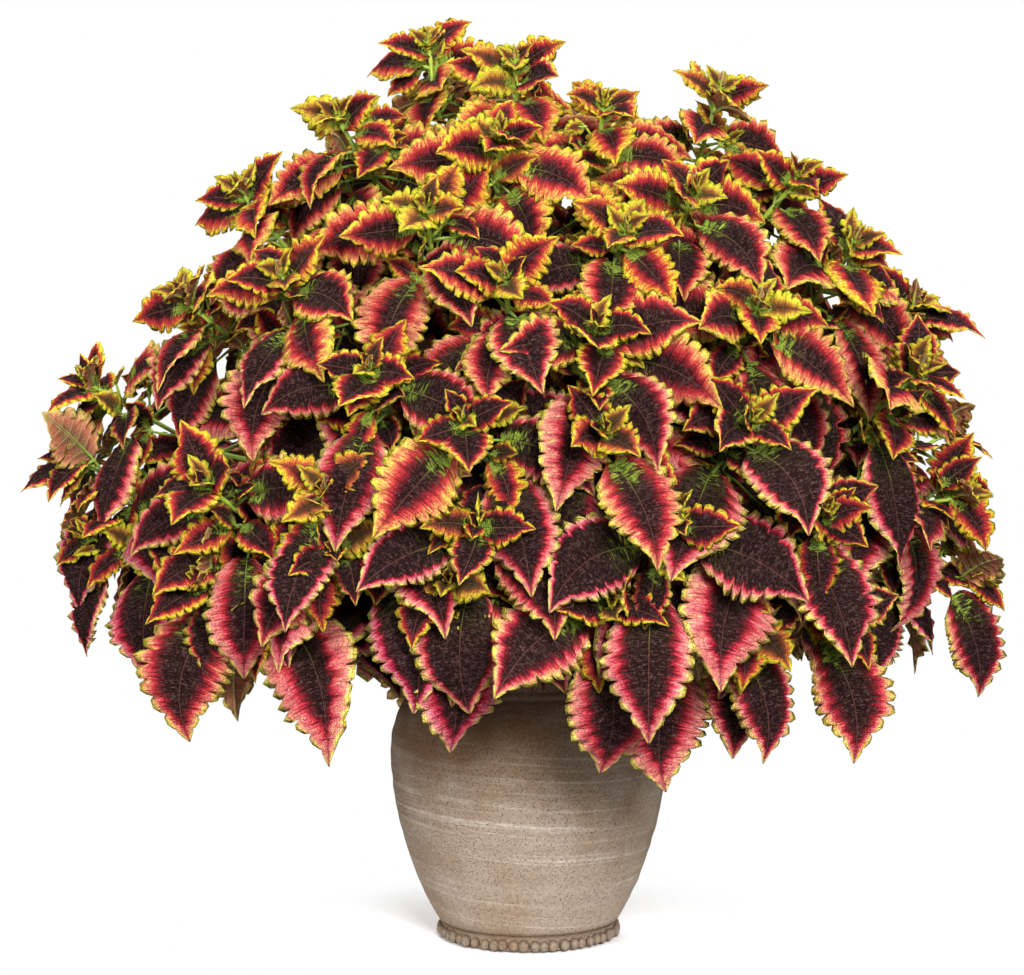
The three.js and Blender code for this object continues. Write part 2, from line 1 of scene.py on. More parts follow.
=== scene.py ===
"""A coleus in its wheel-thrown clay pot, dressed over the plain solids of the same plant.

The plant repeats the growth rule of its solids, so that every fine leaf lies where its plain one
lies, and then carries on growing: older leaf pairs lower on the shoots, small shoots in the leaf
axils and a rosette at every tip. Lengths are in millimetres until a mesh is made, in metres.
"""
import logging
import math
from collections.abc import Iterable, Sequence
from dataclasses import dataclass, field
from enum import Enum
from typing import Any

import bpy
import numpy as np
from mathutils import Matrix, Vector


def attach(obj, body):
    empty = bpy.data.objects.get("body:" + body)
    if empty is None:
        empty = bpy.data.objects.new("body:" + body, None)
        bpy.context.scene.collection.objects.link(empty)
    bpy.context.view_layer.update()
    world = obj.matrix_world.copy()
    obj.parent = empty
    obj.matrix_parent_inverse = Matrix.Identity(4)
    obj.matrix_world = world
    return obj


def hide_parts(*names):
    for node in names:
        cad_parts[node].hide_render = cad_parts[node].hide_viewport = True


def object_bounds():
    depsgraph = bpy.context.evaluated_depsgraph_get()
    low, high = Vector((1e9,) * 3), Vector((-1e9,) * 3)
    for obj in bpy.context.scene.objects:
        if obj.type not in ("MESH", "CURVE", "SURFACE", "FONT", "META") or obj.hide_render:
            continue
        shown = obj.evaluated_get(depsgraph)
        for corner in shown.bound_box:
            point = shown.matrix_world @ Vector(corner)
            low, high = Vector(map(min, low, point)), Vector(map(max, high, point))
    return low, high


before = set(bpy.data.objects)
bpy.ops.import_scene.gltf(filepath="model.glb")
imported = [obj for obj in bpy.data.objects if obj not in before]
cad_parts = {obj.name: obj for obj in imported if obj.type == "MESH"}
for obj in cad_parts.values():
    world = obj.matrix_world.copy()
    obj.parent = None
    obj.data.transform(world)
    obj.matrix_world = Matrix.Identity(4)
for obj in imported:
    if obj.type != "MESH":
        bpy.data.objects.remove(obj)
CAD_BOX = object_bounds()

log = logging.getLogger("coleus")

Profile = tuple[tuple[float, float], ...]  # radius and height, mm

METRES = 0.001
MOST_ROLL = 1.3  # how far a blade rolls about its rib to face its shoot's way, radians
STEM_NUMBERS = 100  # numbers that a leafy stem's leaves are counted in
SHOOT_NUMBERS = 10  # and a shoot's
OLDER_GAP = 34.0  # from one old leaf pair to the next down a shoot, mm
DEEP_INSIDE = 0.3  # inwardness past which a leaf is drawn plainer
UP = np.array([0.0, 0.0, 1.0])

# ---- The growth rule, as the plain solids have it ----

# Leafy stems. Each row is one shoot tip: side, x, z, turn, blade. x and z say where the tip shows
# from the front, and side how deep it lies, from -1 on the front of the dome to 1 on its back.
# turn is the angle of its lowest leaf pair round the tip, in degrees, and blade the length of its
# longest leaves. The first row of a stem is its leader, and the others are its side branches.
LEAFY_STEMS: dict[str, list[tuple[float, float, float, float, float]]] = {
    "leafy_stem_top": [
        (-1, -88, 797, 20, 84),
        (-1, -25, 716, 75, 88),
        (-1, -166, 732, 150, 86),
        (0.7, -70, 770, 60, 86),
    ],
    "leafy_stem_middle": [
        (-1, 66, 742, 120, 84),
        (-1, -12, 780, 10, 84),
        (-1, 85, 632, 165, 96),
        (0.8, 60, 725, 40, 90),
    ],
    "leafy_stem_peak_right": [
        (-1, 168, 757, 165, 82),
        (-1, 146, 668, 60, 88),
        (-1, 236, 680, 20, 86),
        (0.8, 205, 680, 80, 92),
    ],
    "leafy_stem_peak_left": [
        (-0.4, -178, 684, 20, 88),
        (-1, -90, 652, 60, 96),
        (-0.4, -252, 668, 170, 90),
        (0.8, -160, 690, 100, 92),
    ],
    "leafy_stem_right": [
        (-1, 286, 622, 150, 98),
        (-1, 203, 566, 95, 98),
        (0, 340, 566, 30, 96),
    ],
    "leafy_stem_left": [
        (-1, -218, 592, 15, 96),
        (-1, -140, 508, 60, 104),
        (-0.5, -304, 574, 160, 92),
        (-1, -388, 498, 40, 98),
        (0.9, -240, 590, 140, 98),
    ],
    "leafy_stem_front": [
        (-1, 60, 545, 80, 108),
        (-1, -58, 462, 110, 112),
        (-1, 66, 452, 45, 112),
        (-1, -20, 590, 20, 98),
    ],
    "leafy_stem_flank_right": [
        (-1, 345, 508, 140, 106),
        (-1, 195, 462, 65, 112),
        (-0.7, 382, 398, 170, 104),
        (0.6, 372, 455, 70, 104),
        (-0.4, 392, 326, 75, 112),
    ],
    "leafy_stem_flank_left": [
        (-1, -285, 405, 60, 110),
        (-0.6, -405, 432, 20, 102),
        (-0.8, -388, 360, 75, 106),
        (-1, -285, 318, 95, 135),
        (0.6, -380, 440, 120, 104),
    ],
    "leafy_stem_low_left": [
        (-1, -178, 398, 120, 116),
        (-1, -45, 368, 85, 108),
        (-1, -168, 346, 95, 106),
        (-1, -70, 318, 60, 104),
    ],
    "leafy_stem_low_right": [
        (-1, 130, 370, 100, 118),
        (-1, 72, 298, 105, 122),
        (-1, 262, 380, 70, 112),
        (-1, 192, 280, 80, 120),
        (-1, 278, 290, 75, 118),
    ],
    "leafy_stem_back": [
        (1, 15, 620, 60, 106),
        (1, -95, 510, 110, 110),
        (1, 115, 505, 75, 110),
        (1, 10, 395, 95, 114),
    ],
    "leafy_stem_back_left": [
        (1, -210, 430, 50, 112),
        (1, -270, 310, 75, 114),
        (1, -90, 300, 120, 114),
    ],
    "leafy_stem_back_right": [
        (1, 225, 440, 130, 112),
        (1, 290, 315, 100, 114),
        (1, 105, 295, 85, 114),
    ],
}

# Ways that a stem was led clear: steps its fork moves up its leader, and its bow sideways.
ROUTES = (
    (0, 0), (0, 0.1), (0, -0.1), (1, 0), (-1, 0), (0, 0.2), (0, -0.2),
    (1, 0.15), (1, -0.15), (-1, 0.2), (-1, -0.2), (0, 0.35), (0, -0.35),
)

# Ways that a leaf was nudged clear: yaw, lift and more droop in degrees, and scale.
NUDGES = np.array([
    (0, 0, 0, 1), (0, 10, 0, 1), (0, -10, 0, 1), (12, 0, 0, 1), (-12, 0, 0, 1),
    (0, 0, 22, 1), (0, 0, -22, 1), (16, 12, 0, 1), (-16, 12, 0, 1), (16, -12, 14, 1),
    (-16, -12, 14, 1), (26, 0, -20, 1), (-26, 0, -20, 1), (0, 24, -20, 0.9), (0, -24, 20, 0.9),
    (30, 14, 10, 0.86), (-30, 14, 10, 0.86), (38, -16, 20, 0.8), (-38, -16, 20, 0.8),
    (0, 36, -34, 0.8), (20, 26, -20, 0.7), (-20, 26, -20, 0.7), (0, 0, 0, 0.6), (0, 30, 0, 0.6),
])


@dataclass(frozen=True)
class LeafPair:
    """Where and how a pair of leaves grows on its shoot."""

    turn: float  # quarter turns from the shoot's first pair
    below: float  # distance below the tip, mm
    open: float  # opening from the stem, degrees
    blade: float  # blade length for the shoot's blade
    petiole: float  # petiole length for the shoot's blade
    droop: float  # degrees
    age: float  # from 0, just unfolded, to 1, oldest


PAIRS = (
    LeafPair(turn=0, below=58, open=84, blade=1.0, petiole=0.3, droop=70, age=0.85),
    LeafPair(turn=1, below=28, open=72, blade=0.88, petiole=0.2, droop=58, age=0.45),
    LeafPair(turn=2, below=3, open=48, blade=0.6, petiole=0.0, droop=30, age=0.18),
)


def unit(vectors: np.ndarray) -> np.ndarray:
    """Vectors scaled to length 1 along their last axis."""
    return vectors / np.linalg.norm(vectors, axis=-1, keepdims=True)


def scatter(number: np.ndarray | float) -> np.ndarray:
    """A repeatable number from 0 to 1: the fraction of 43758.5453 sin(12.9898 n)."""
    wave = np.sin(np.asarray(number, float) * 12.9898) * 43758.5453
    return wave - np.floor(wave)


def vary(number: np.ndarray | float, spread: float) -> np.ndarray:
    """A repeatable number within half a spread either side of 0."""
    return (scatter(number) - 0.5) * spread


def smooth_step(low: float, high: float, value: np.ndarray | float) -> np.ndarray:
    """0 below low and 1 above high, with the cubic 3s^2 - 2s^3 between."""
    share = np.clip((np.asarray(value, float) - low) / (high - low), 0, 1)
    return share * share * (3 - 2 * share)


@dataclass(frozen=True)
class Crown:
    """The dome that the shoot tips lie on, laid out from the front."""

    middle: float = 395.0
    above: float = 410.0
    below: float = 250.0
    half_width: float = 395.0
    depth_share: float = 0.83
    eye_distance: float = 3300.0
    eye_height: float = 790.0
    uplift: float = 0.85  # how strongly a shoot turns up from the dome's outward direction

    def rise_share(self, z: float) -> float:
        """Height over the dome's middle, for the dome's reach that way."""
        rise = z - self.middle
        return rise / (self.above if rise > 0 else self.below)

    def tip_point(self, side: float, x: float, z: float) -> np.ndarray:
        """Puts a shoot tip on the dome.

        The dome's half width at a height is its greatest one times the root of 1 less the height
        share squared. What is nearer the eye is drawn in by its share of the way to the eye.

        Args:
            side: depth, from -1 on the front of the dome to 1 on its back.
            x: where the tip shows to the right of the middle.
            z: height that the tip shows at.

        Returns:
            The tip's place.
        """
        half = self.half_width * math.sqrt(max(0.0, 1 - self.rise_share(z) ** 2))
        depth = side * self.depth_share * math.sqrt(max(0.0, half * half - x * x))
        near = 1 + depth / self.eye_distance
        return np.array([x * near, depth, self.eye_height + (z - self.eye_height) * near])

    def tip_axis(self, tip: np.ndarray) -> np.ndarray:
        """A shoot's own direction: out from the dome, turned up to the light."""
        out = np.array([
            tip[0] / self.half_width,
            tip[1] / (self.half_width * self.depth_share),
            self.rise_share(tip[2]),
        ])
        return unit(unit(out) + self.uplift * UP)


@dataclass(frozen=True)
class StemHabit:
    """How leaders and branches run. Lengths are in mm."""

    foot_radius: tuple[float, float] = (72, 16)  # how far out a leader stands, low and high
    tip_height: tuple[float, float] = (330, 790)  # heights of the tips that those are for
    leader_radius: tuple[float, float] = (4.6, 2.0)  # half the diagonal, at the foot and the tip
    branch_radius: tuple[float, float] = (2.3, 1.9)
    leader_steps: int = 6  # straight steps along its curve
    branch_steps: int = 3
    fork_steps: tuple[int, ...] = (4, 5, 3, 4, 5)  # the leader's point that each branch leaves
    spread: float = 2.0  # how strongly a branch leaves towards its tip rather than upwards
    sweep: float = 0.35  # length of a curve's two handles, for its span
    bare_below: float = 14.0  # clear stem under the lowest leaf pair
    node_half: float = 1.6  # half the height of stem that a petiole grows from
    soil_top: float = 230.0
    soil_dome: float = 5.0
    foot_bottom: float = 186.0


@dataclass(frozen=True)
class Variety:
    """How much leaves of one kind differ: whole spreads, in degrees, and size as a share."""

    yaw: float = 24
    open: float = 14
    droop: float = 16
    size: float = 0.16


@dataclass(frozen=True)
class LightHabit:
    """What the leaves of a shoot turn their faces to, each way by its strength."""

    outward: float = 0.6
    upward: float = 0.5
    frontward: float = 0.6
    back_from: float = 0.5  # sides from which no leaf turns to the front


@dataclass(frozen=True)
class LookHabit:
    """How the look of leaves changes over the plant and from one to the next."""

    low: float = 430.0  # tips this low look oldest and pinkest, mm
    high: float = 800.0  # tips this high look youngest and most orange, mm
    hue: float = 0.15  # at the low tips, where 0 is pink and 1 is orange
    hue_rise: float = 0.75
    hue_spread: float = 0.5
    age: float = 0.06  # added to a leaf's own
    age_fall: float = 0.1
    age_spread: float = 0.26


CROWN = Crown()
HABIT = StemHabit()
VARIETY = Variety()
LIGHT = LightHabit()
LOOK = LookHabit()


@dataclass
class Leaves:
    """Leaves in rows of arrays: where each grows, how it lies, its lengths and its look.

    look holds age, hue from pink to orange, chance and inwardness, each from 0 to 1.
    Inwardness paints shade on a leaf and, past a point, draws it plainer.
    """

    root: np.ndarray
    level: np.ndarray
    rise: np.ndarray
    droop: np.ndarray
    petiole: np.ndarray
    blade: np.ndarray
    roll: np.ndarray
    serial: np.ndarray
    look: np.ndarray

    def take(self, chosen: np.ndarray | slice | list[int]) -> "Leaves":
        """The chosen leaves."""
        return Leaves(**{name: values[chosen] for name, values in vars(self).items()})

    def __len__(self) -> int:
        """How many leaves there are."""
        return len(self.blade)

    def rib(self, distance: np.ndarray) -> tuple[np.ndarray, np.ndarray, np.ndarray]:
        """Points on the ribs, with the directions of the face and of its right side.

        A rib's slope falls evenly along its length, so it is part of a circle in an upright
        plane: forward is (sin rise - sin slope) / rate and upward (cos slope - cos rise) / rate.
        The face is rolled about the rib alike all the way.

        Args:
            distance: lengths along the rib from its root, (leaves, ...).

        Returns:
            Point, normal and side, each (leaves, ..., 3).
        """
        lead = (slice(None),) + (None,) * (distance.ndim - 1)
        rise = self.rise[lead]
        rate = (self.droop / (self.petiole + self.blade))[lead]
        slope = rise - rate * distance
        forward = (np.sin(rise) - np.sin(slope)) / rate
        upward = (np.cos(slope) - np.cos(rise)) / rate
        level = self.level[lead]
        point = self.root[lead] + level * forward[..., None] + UP * upward[..., None]
        along = level * np.cos(slope)[..., None] + UP * np.sin(slope)[..., None]
        across = np.cross(level, UP)
        roll = self.roll[lead][..., None]
        normal = np.cross(across, along) * np.cos(roll) + across * np.sin(roll)
        return point, normal, np.cross(along, normal)


def join_leaves(parts: Sequence[Leaves]) -> Leaves:
    """Several sets of leaves as one."""
    names = vars(parts[0])
    return Leaves(**{name: np.concatenate([getattr(p, name) for p in parts]) for name in names})


@dataclass
class Shoot:
    """One shoot: its stem's points and the way its leaf pairs lie."""

    side: float
    tip: np.ndarray
    axis: np.ndarray
    turn: float
    blade: float
    radii: tuple[float, float]
    serial: float
    points: np.ndarray = field(default_factory=lambda: np.zeros((0, 3)))

    def reaches(self) -> np.ndarray:
        """How far along the stem each of its points is."""
        steps = np.linalg.norm(np.diff(self.points, axis=0), axis=1)
        return np.concatenate([[0.0], np.cumsum(steps)])

    def point_below(self, distance: float) -> np.ndarray:
        """The point of the stem a distance back from its tip, or ahead of it if negative."""
        if distance < 0:
            return self.tip - self.axis * distance
        reach = self.reaches()
        at = max(0.0, reach[-1] - distance)
        return np.array([np.interp(at, reach, self.points[:, k]) for k in range(3)])

    def pair_direction(self, angle: np.ndarray | float) -> np.ndarray:
        """The way that a leaf at an angle round the shoot points, square to the shoot."""
        left = unit(np.cross(self.axis, np.array([0.0, 1.0, 0.0])))
        down = np.cross(self.axis, left)
        turned = np.asarray(self.turn + angle, float)[..., None]
        return left * np.cos(turned) + down * np.sin(turned)

    def facing(self) -> np.ndarray:
        """The way that the leaves' faces turn: up, outwards and, off the back, to the front."""
        out = unit(np.array([self.tip[0], self.tip[1], 0.0]))
        facing = out * LIGHT.outward + UP * LIGHT.upward
        if self.side < LIGHT.back_from:
            facing = facing - np.array([0.0, LIGHT.frontward, 0.0])
        return unit(facing)

    def stations(self) -> tuple[np.ndarray, np.ndarray, np.ndarray]:
        """The places where the stem's straight stretches meet.

        Returns:
            Points, directions and shares of the length: the bare part's points and then one
            for each leaf pair.
        """
        reach = self.reaches()
        bare = reach < reach[-1] - PAIRS[0].below - HABIT.bare_below
        nodes = np.array([self.point_below(pair.below) for pair in PAIRS])
        points = np.concatenate([self.points[bare], nodes])
        places = np.concatenate([reach[bare], [reach[-1] - pair.below for pair in PAIRS]])
        ahead = points[np.minimum(np.arange(len(points)) + 1, len(points) - 1)]
        behind = points[np.maximum(np.arange(len(points)) - 1, 0)]
        return points, unit(ahead - behind), places / reach[-1]

    def first_pair_corners(self) -> np.ndarray:
        """The four corners of the square loop just under the shoot's lowest leaf pair."""
        points, along, share = (values[-len(PAIRS)] for values in self.stations())
        half = (self.radii[0] + (self.radii[1] - self.radii[0]) * share) * math.sqrt(0.5)
        face = self.pair_direction(0.0)
        across = unit(face - along * (face @ along))
        up = np.cross(along, across)
        corners = np.array([(1, 1), (-1, 1), (-1, -1), (1, -1)]) * half
        centre = points - along * HABIT.node_half
        return centre + corners[:, :1] * across + corners[:, 1:] * up

    def look(self, age: float, serial: np.ndarray | float, inward: float) -> np.ndarray:
        """The look of leaves on this shoot: tips high on the plant are younger and more orange."""
        high = float(smooth_step(LOOK.low, LOOK.high, self.tip[2]))
        serial = np.asarray(serial, float)
        chance = scatter(serial + 0.9)
        hue = LOOK.hue + LOOK.hue_rise * high + LOOK.hue_spread * (scatter(serial + 0.45) - 0.5)
        older = age + LOOK.age - LOOK.age_fall * high + LOOK.age_spread * (chance - 0.5)
        values = [np.clip(older, 0, 1), np.clip(hue, 0, 1), chance, np.full_like(chance, inward)]
        return np.stack(values, -1)

    def leaves(self, pair: LeafPair, hand: int, number: float, nudges: np.ndarray,
               inward: float = 0.0) -> Leaves:
        """One leaf in each of several nudged ways.

        Args:
            pair: the leaf pair it belongs to.
            hand: 0 or 1, one of the pair's two leaves.
            number: tells this leaf apart from all others, for its share of chance.
            nudges: rows of yaw, lift, more droop and scale.
            inward: how deep inside the plant it is, from 0 to 1.

        Returns:
            A leaf for each nudge.
        """
        yaw, lift, more_droop, scale = nudges.T
        angle = yaw + vary(number, VARIETY.yaw) + pair.turn * 90 + hand * 180
        opening = np.radians(pair.open - lift + vary(number + 0.3, VARIETY.open))
        start = self.axis * np.cos(opening)[:, None]
        start = start + self.pair_direction(np.radians(angle)) * np.sin(opening)[:, None]
        size = self.blade * scale * (1 + vary(number + 0.6, VARIETY.size))
        count = len(nudges)
        flat = Leaves(
            root=np.tile(self.point_below(pair.below), (count, 1)),
            level=unit(start * np.array([1.0, 1.0, 0.0])),
            rise=np.arcsin(start[:, 2]),
            droop=np.radians(pair.droop + more_droop + vary(number + 0.8, VARIETY.droop)),
            petiole=size * pair.petiole,
            blade=size * pair.blade,
            roll=np.zeros(count),
            serial=np.full(count, float(number)),
            look=np.tile(self.look(pair.age, number, inward), (count, 1)),
        )
        _, normal, side = flat.rib(flat.petiole + flat.blade / 2)
        facing = self.facing()
        flat.roll = np.clip(np.arctan2(side @ facing, normal @ facing), -MOST_ROLL, MOST_ROLL)
        return flat


@dataclass
class PlainSolid:
    """A leafy stem's plain solid, asked where its corners are. Lengths are in mm."""

    corners: np.ndarray
    tolerance: float = 0.02
    loop_corners: int = 3  # of a stem's square loop, that must be there

    @classmethod
    def of(cls, name: str) -> "PlainSolid":
        """Reads the corners of a node of the frame."""
        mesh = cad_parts[name].data
        flat = np.zeros(len(mesh.vertices) * 3, np.float32)
        mesh.vertices.foreach_get("co", flat)
        return cls(np.unique(flat.reshape(-1, 3), axis=0).astype(float) / METRES)

    def has(self, points: np.ndarray) -> np.ndarray:
        """Whether each point is a corner of the solid."""
        gaps = np.linalg.norm(self.corners[None] - points[:, None], axis=2)
        return gaps.min(1) < self.tolerance

    def has_loop(self, corners: np.ndarray) -> bool:
        """Whether the solid has a stem's square loop with these corners."""
        return self.has(corners).sum() >= self.loop_corners


@dataclass
class LeafyStem:
    """A leader, its branches and all that grows on them."""

    name: str
    serial: int
    shoots: list[Shoot]
    leaves: list[Leaves] = field(default_factory=list)

    @classmethod
    def planned(cls, name: str, serial: int) -> "LeafyStem":
        """A leafy stem from its rows, before its stems are led and its leaves are found."""
        shoots = []
        for order, (side, x, z, turn, blade) in enumerate(LEAFY_STEMS[name]):
            tip = CROWN.tip_point(side, x, z)
            radii = HABIT.branch_radius if order else HABIT.leader_radius
            axis = CROWN.tip_axis(tip)
            number = serial * STEM_NUMBERS + order * SHOOT_NUMBERS
            shoots.append(Shoot(side, tip, axis, math.radians(turn), blade, radii, number))
        return cls(name, serial, shoots)

    def route(self, order: int, way: tuple[int, float]) -> np.ndarray:
        """The points of a shoot's stem led a given way, on a cubic curve in straight steps."""
        shoot = self.shoots[order]
        shift, bow = way
        if order == 0:
            low, high = HABIT.tip_height
            share = (shoot.tip[2] - low) / (high - low)
            radius = HABIT.foot_radius[0] + (HABIT.foot_radius[1] - HABIT.foot_radius[0]) * share
            start = unit(shoot.tip * np.array([1.0, 1.0, 0.0])) * radius
            start[2] = HABIT.soil_top + HABIT.soil_dome
            leave = UP
        else:
            start = self.shoots[0].points[HABIT.fork_steps[order - 1] + shift]
            leave = unit(unit(shoot.tip - start) * HABIT.spread + UP)
        reach = shoot.tip - start
        span = np.linalg.norm(reach)
        sideways = unit(np.cross(reach, UP)) * bow * span
        near = start + leave * span * HABIT.sweep + sideways
        far = shoot.tip - shoot.axis * span * HABIT.sweep + sideways
        steps = HABIT.branch_steps if order else HABIT.leader_steps
        t = np.linspace(0, 1, steps + 1)[:, None]
        back = 1 - t
        points = back**3 * start + 3 * back**2 * t * near + 3 * back * t**2 * far
        points = points + t**3 * shoot.tip
        if order:
            return points
        bottom = np.array([start[0], start[1], HABIT.foot_bottom])
        return np.concatenate([[bottom], points])

    def follow(self, solid: PlainSolid) -> None:
        """Leads every shoot the way that its plain solid goes, and finds its leaves on it."""
        for order, shoot in enumerate(self.shoots):
            for way in ROUTES:
                shoot.points = self.route(order, way)
                if solid.has_loop(shoot.first_pair_corners()):
                    break
            else:
                raise ValueError(f"{self.name} has no shoot {order} in its solid")
            for rank, pair in enumerate(PAIRS):
                for hand in range(2):
                    number = shoot.serial + rank * 2 + hand
                    ways = shoot.leaves(pair, hand, number, NUDGES)
                    ends = ways.rib((ways.petiole + ways.blade)[:, None])[0][:, 0]
                    found = np.flatnonzero(solid.has(ends))
                    if len(found):
                        self.leaves.append(ways.take([int(found[0])]))


# ---- Growth beyond the plain solids ----

# Leaves in the axils of a shoot's leaves, on a short shoot of their own.
AXIL_PAIRS = (
    LeafPair(turn=0, below=2, open=62, blade=1.0, petiole=0.08, droop=46, age=0.2),
    LeafPair(turn=1, below=-3, open=36, blade=0.6, petiole=0.0, droop=18, age=0.04),
)
# Leaves between the lowest two pairs of a tip high on the plant.
BETWEEN_PAIRS = (
    LeafPair(turn=0.5, below=44, open=74, blade=0.84, petiole=0.22, droop=52, age=0.5),
    LeafPair(turn=1.5, below=14, open=60, blade=0.74, petiole=0.1, droop=40, age=0.3),
)
# The youngest leaves, round each tip.
TIP_PAIRS = (
    LeafPair(turn=3, below=-3, open=56, blade=0.46, petiole=0.0, droop=34, age=0.1),
    LeafPair(turn=4, below=-7, open=36, blade=0.3, petiole=0.0, droop=16, age=0.02),
    LeafPair(turn=5, below=-10, open=16, blade=0.18, petiole=0.0, droop=8, age=0.0),
)


@dataclass
class Room:
    """The room that leaves take up, as points on their ribs and margins."""

    gap: float = 9.0
    reach: float = 220.0
    lowest: float = 255.0
    taken: list[np.ndarray] = field(default_factory=list)

    @staticmethod
    def probes(leaves: Leaves) -> np.ndarray:
        """Points on each leaf: four along its rib and two along each margin."""
        shares = np.array([0.2, 0.5, 0.8, 1.0, 0.25, 0.25, 0.55, 0.55])
        sideways = np.array([0, 0, 0, 0, 0.27, -0.27, 0.24, -0.24])
        margin_rise = 0.2
        distance = leaves.petiole[:, None] + leaves.blade[:, None] * shares
        point, normal, side = leaves.rib(distance)
        across = (leaves.blade[:, None] * sideways)[..., None]
        return point + side * across + normal * np.abs(across) * margin_rise

    def take(self, leaves: Leaves) -> None:
        """Keeps the room of these leaves."""
        self.taken.append(self.probes(leaves).reshape(-1, 3))

    def choose(self, ways: Leaves) -> Leaves | None:
        """The first of several ways to lay a leaf that is clear of others and high enough.

        Args:
            ways: the same leaf nudged several ways.

        Returns:
            One leaf, or none if no way is clear.
        """
        points = self.probes(ways)
        flat = points.reshape(-1, 3)
        others = np.concatenate(self.taken)
        near = others[np.linalg.norm(others - flat.mean(0), axis=1) < self.reach]
        gaps = np.linalg.norm(flat[:, None] - near[None], axis=2).min(1)
        gaps = gaps.reshape(points.shape[:2]).min(1)
        low, high = (np.array(corner) / METRES for corner in CAD_BOX)
        low[2] = self.lowest
        inside = np.all((points > low) & (points < high), axis=(1, 2))
        clear = np.flatnonzero((gaps > self.gap) & inside)
        if not len(clear):
            return None
        chosen = ways.take([int(clear[0])])
        self.take(chosen)
        return chosen

    def settle(self, leaves: Iterable[Leaves]) -> list[Leaves]:
        """Lays leaves one after another, each given in its several ways: those that find room."""
        return [leaf for leaf in map(self.choose, leaves) if leaf is not None]


@dataclass(frozen=True)
class Numbering:
    """Numbers for the leaves or small shoots of one kind, which set their share of chance."""

    first: int
    stride: float  # from one shoot's number to the next

    def of(self, shoot: Shoot, rank: int, hand: int) -> float:
        """The number of one of the two that grow at a node."""
        return self.first + shoot.serial * self.stride + rank * 2 + hand


TIP_NUMBERS = Numbering(first=6, stride=1)
BETWEEN_NUMBERS = Numbering(first=6000, stride=3)
AXIL_SHOOT_NUMBERS = Numbering(first=3000, stride=8)
AXIL_LEAF_NUMBERS = Numbering(first=0, stride=2.7)
OLDER_NUMBERS = Numbering(first=9000, stride=3)


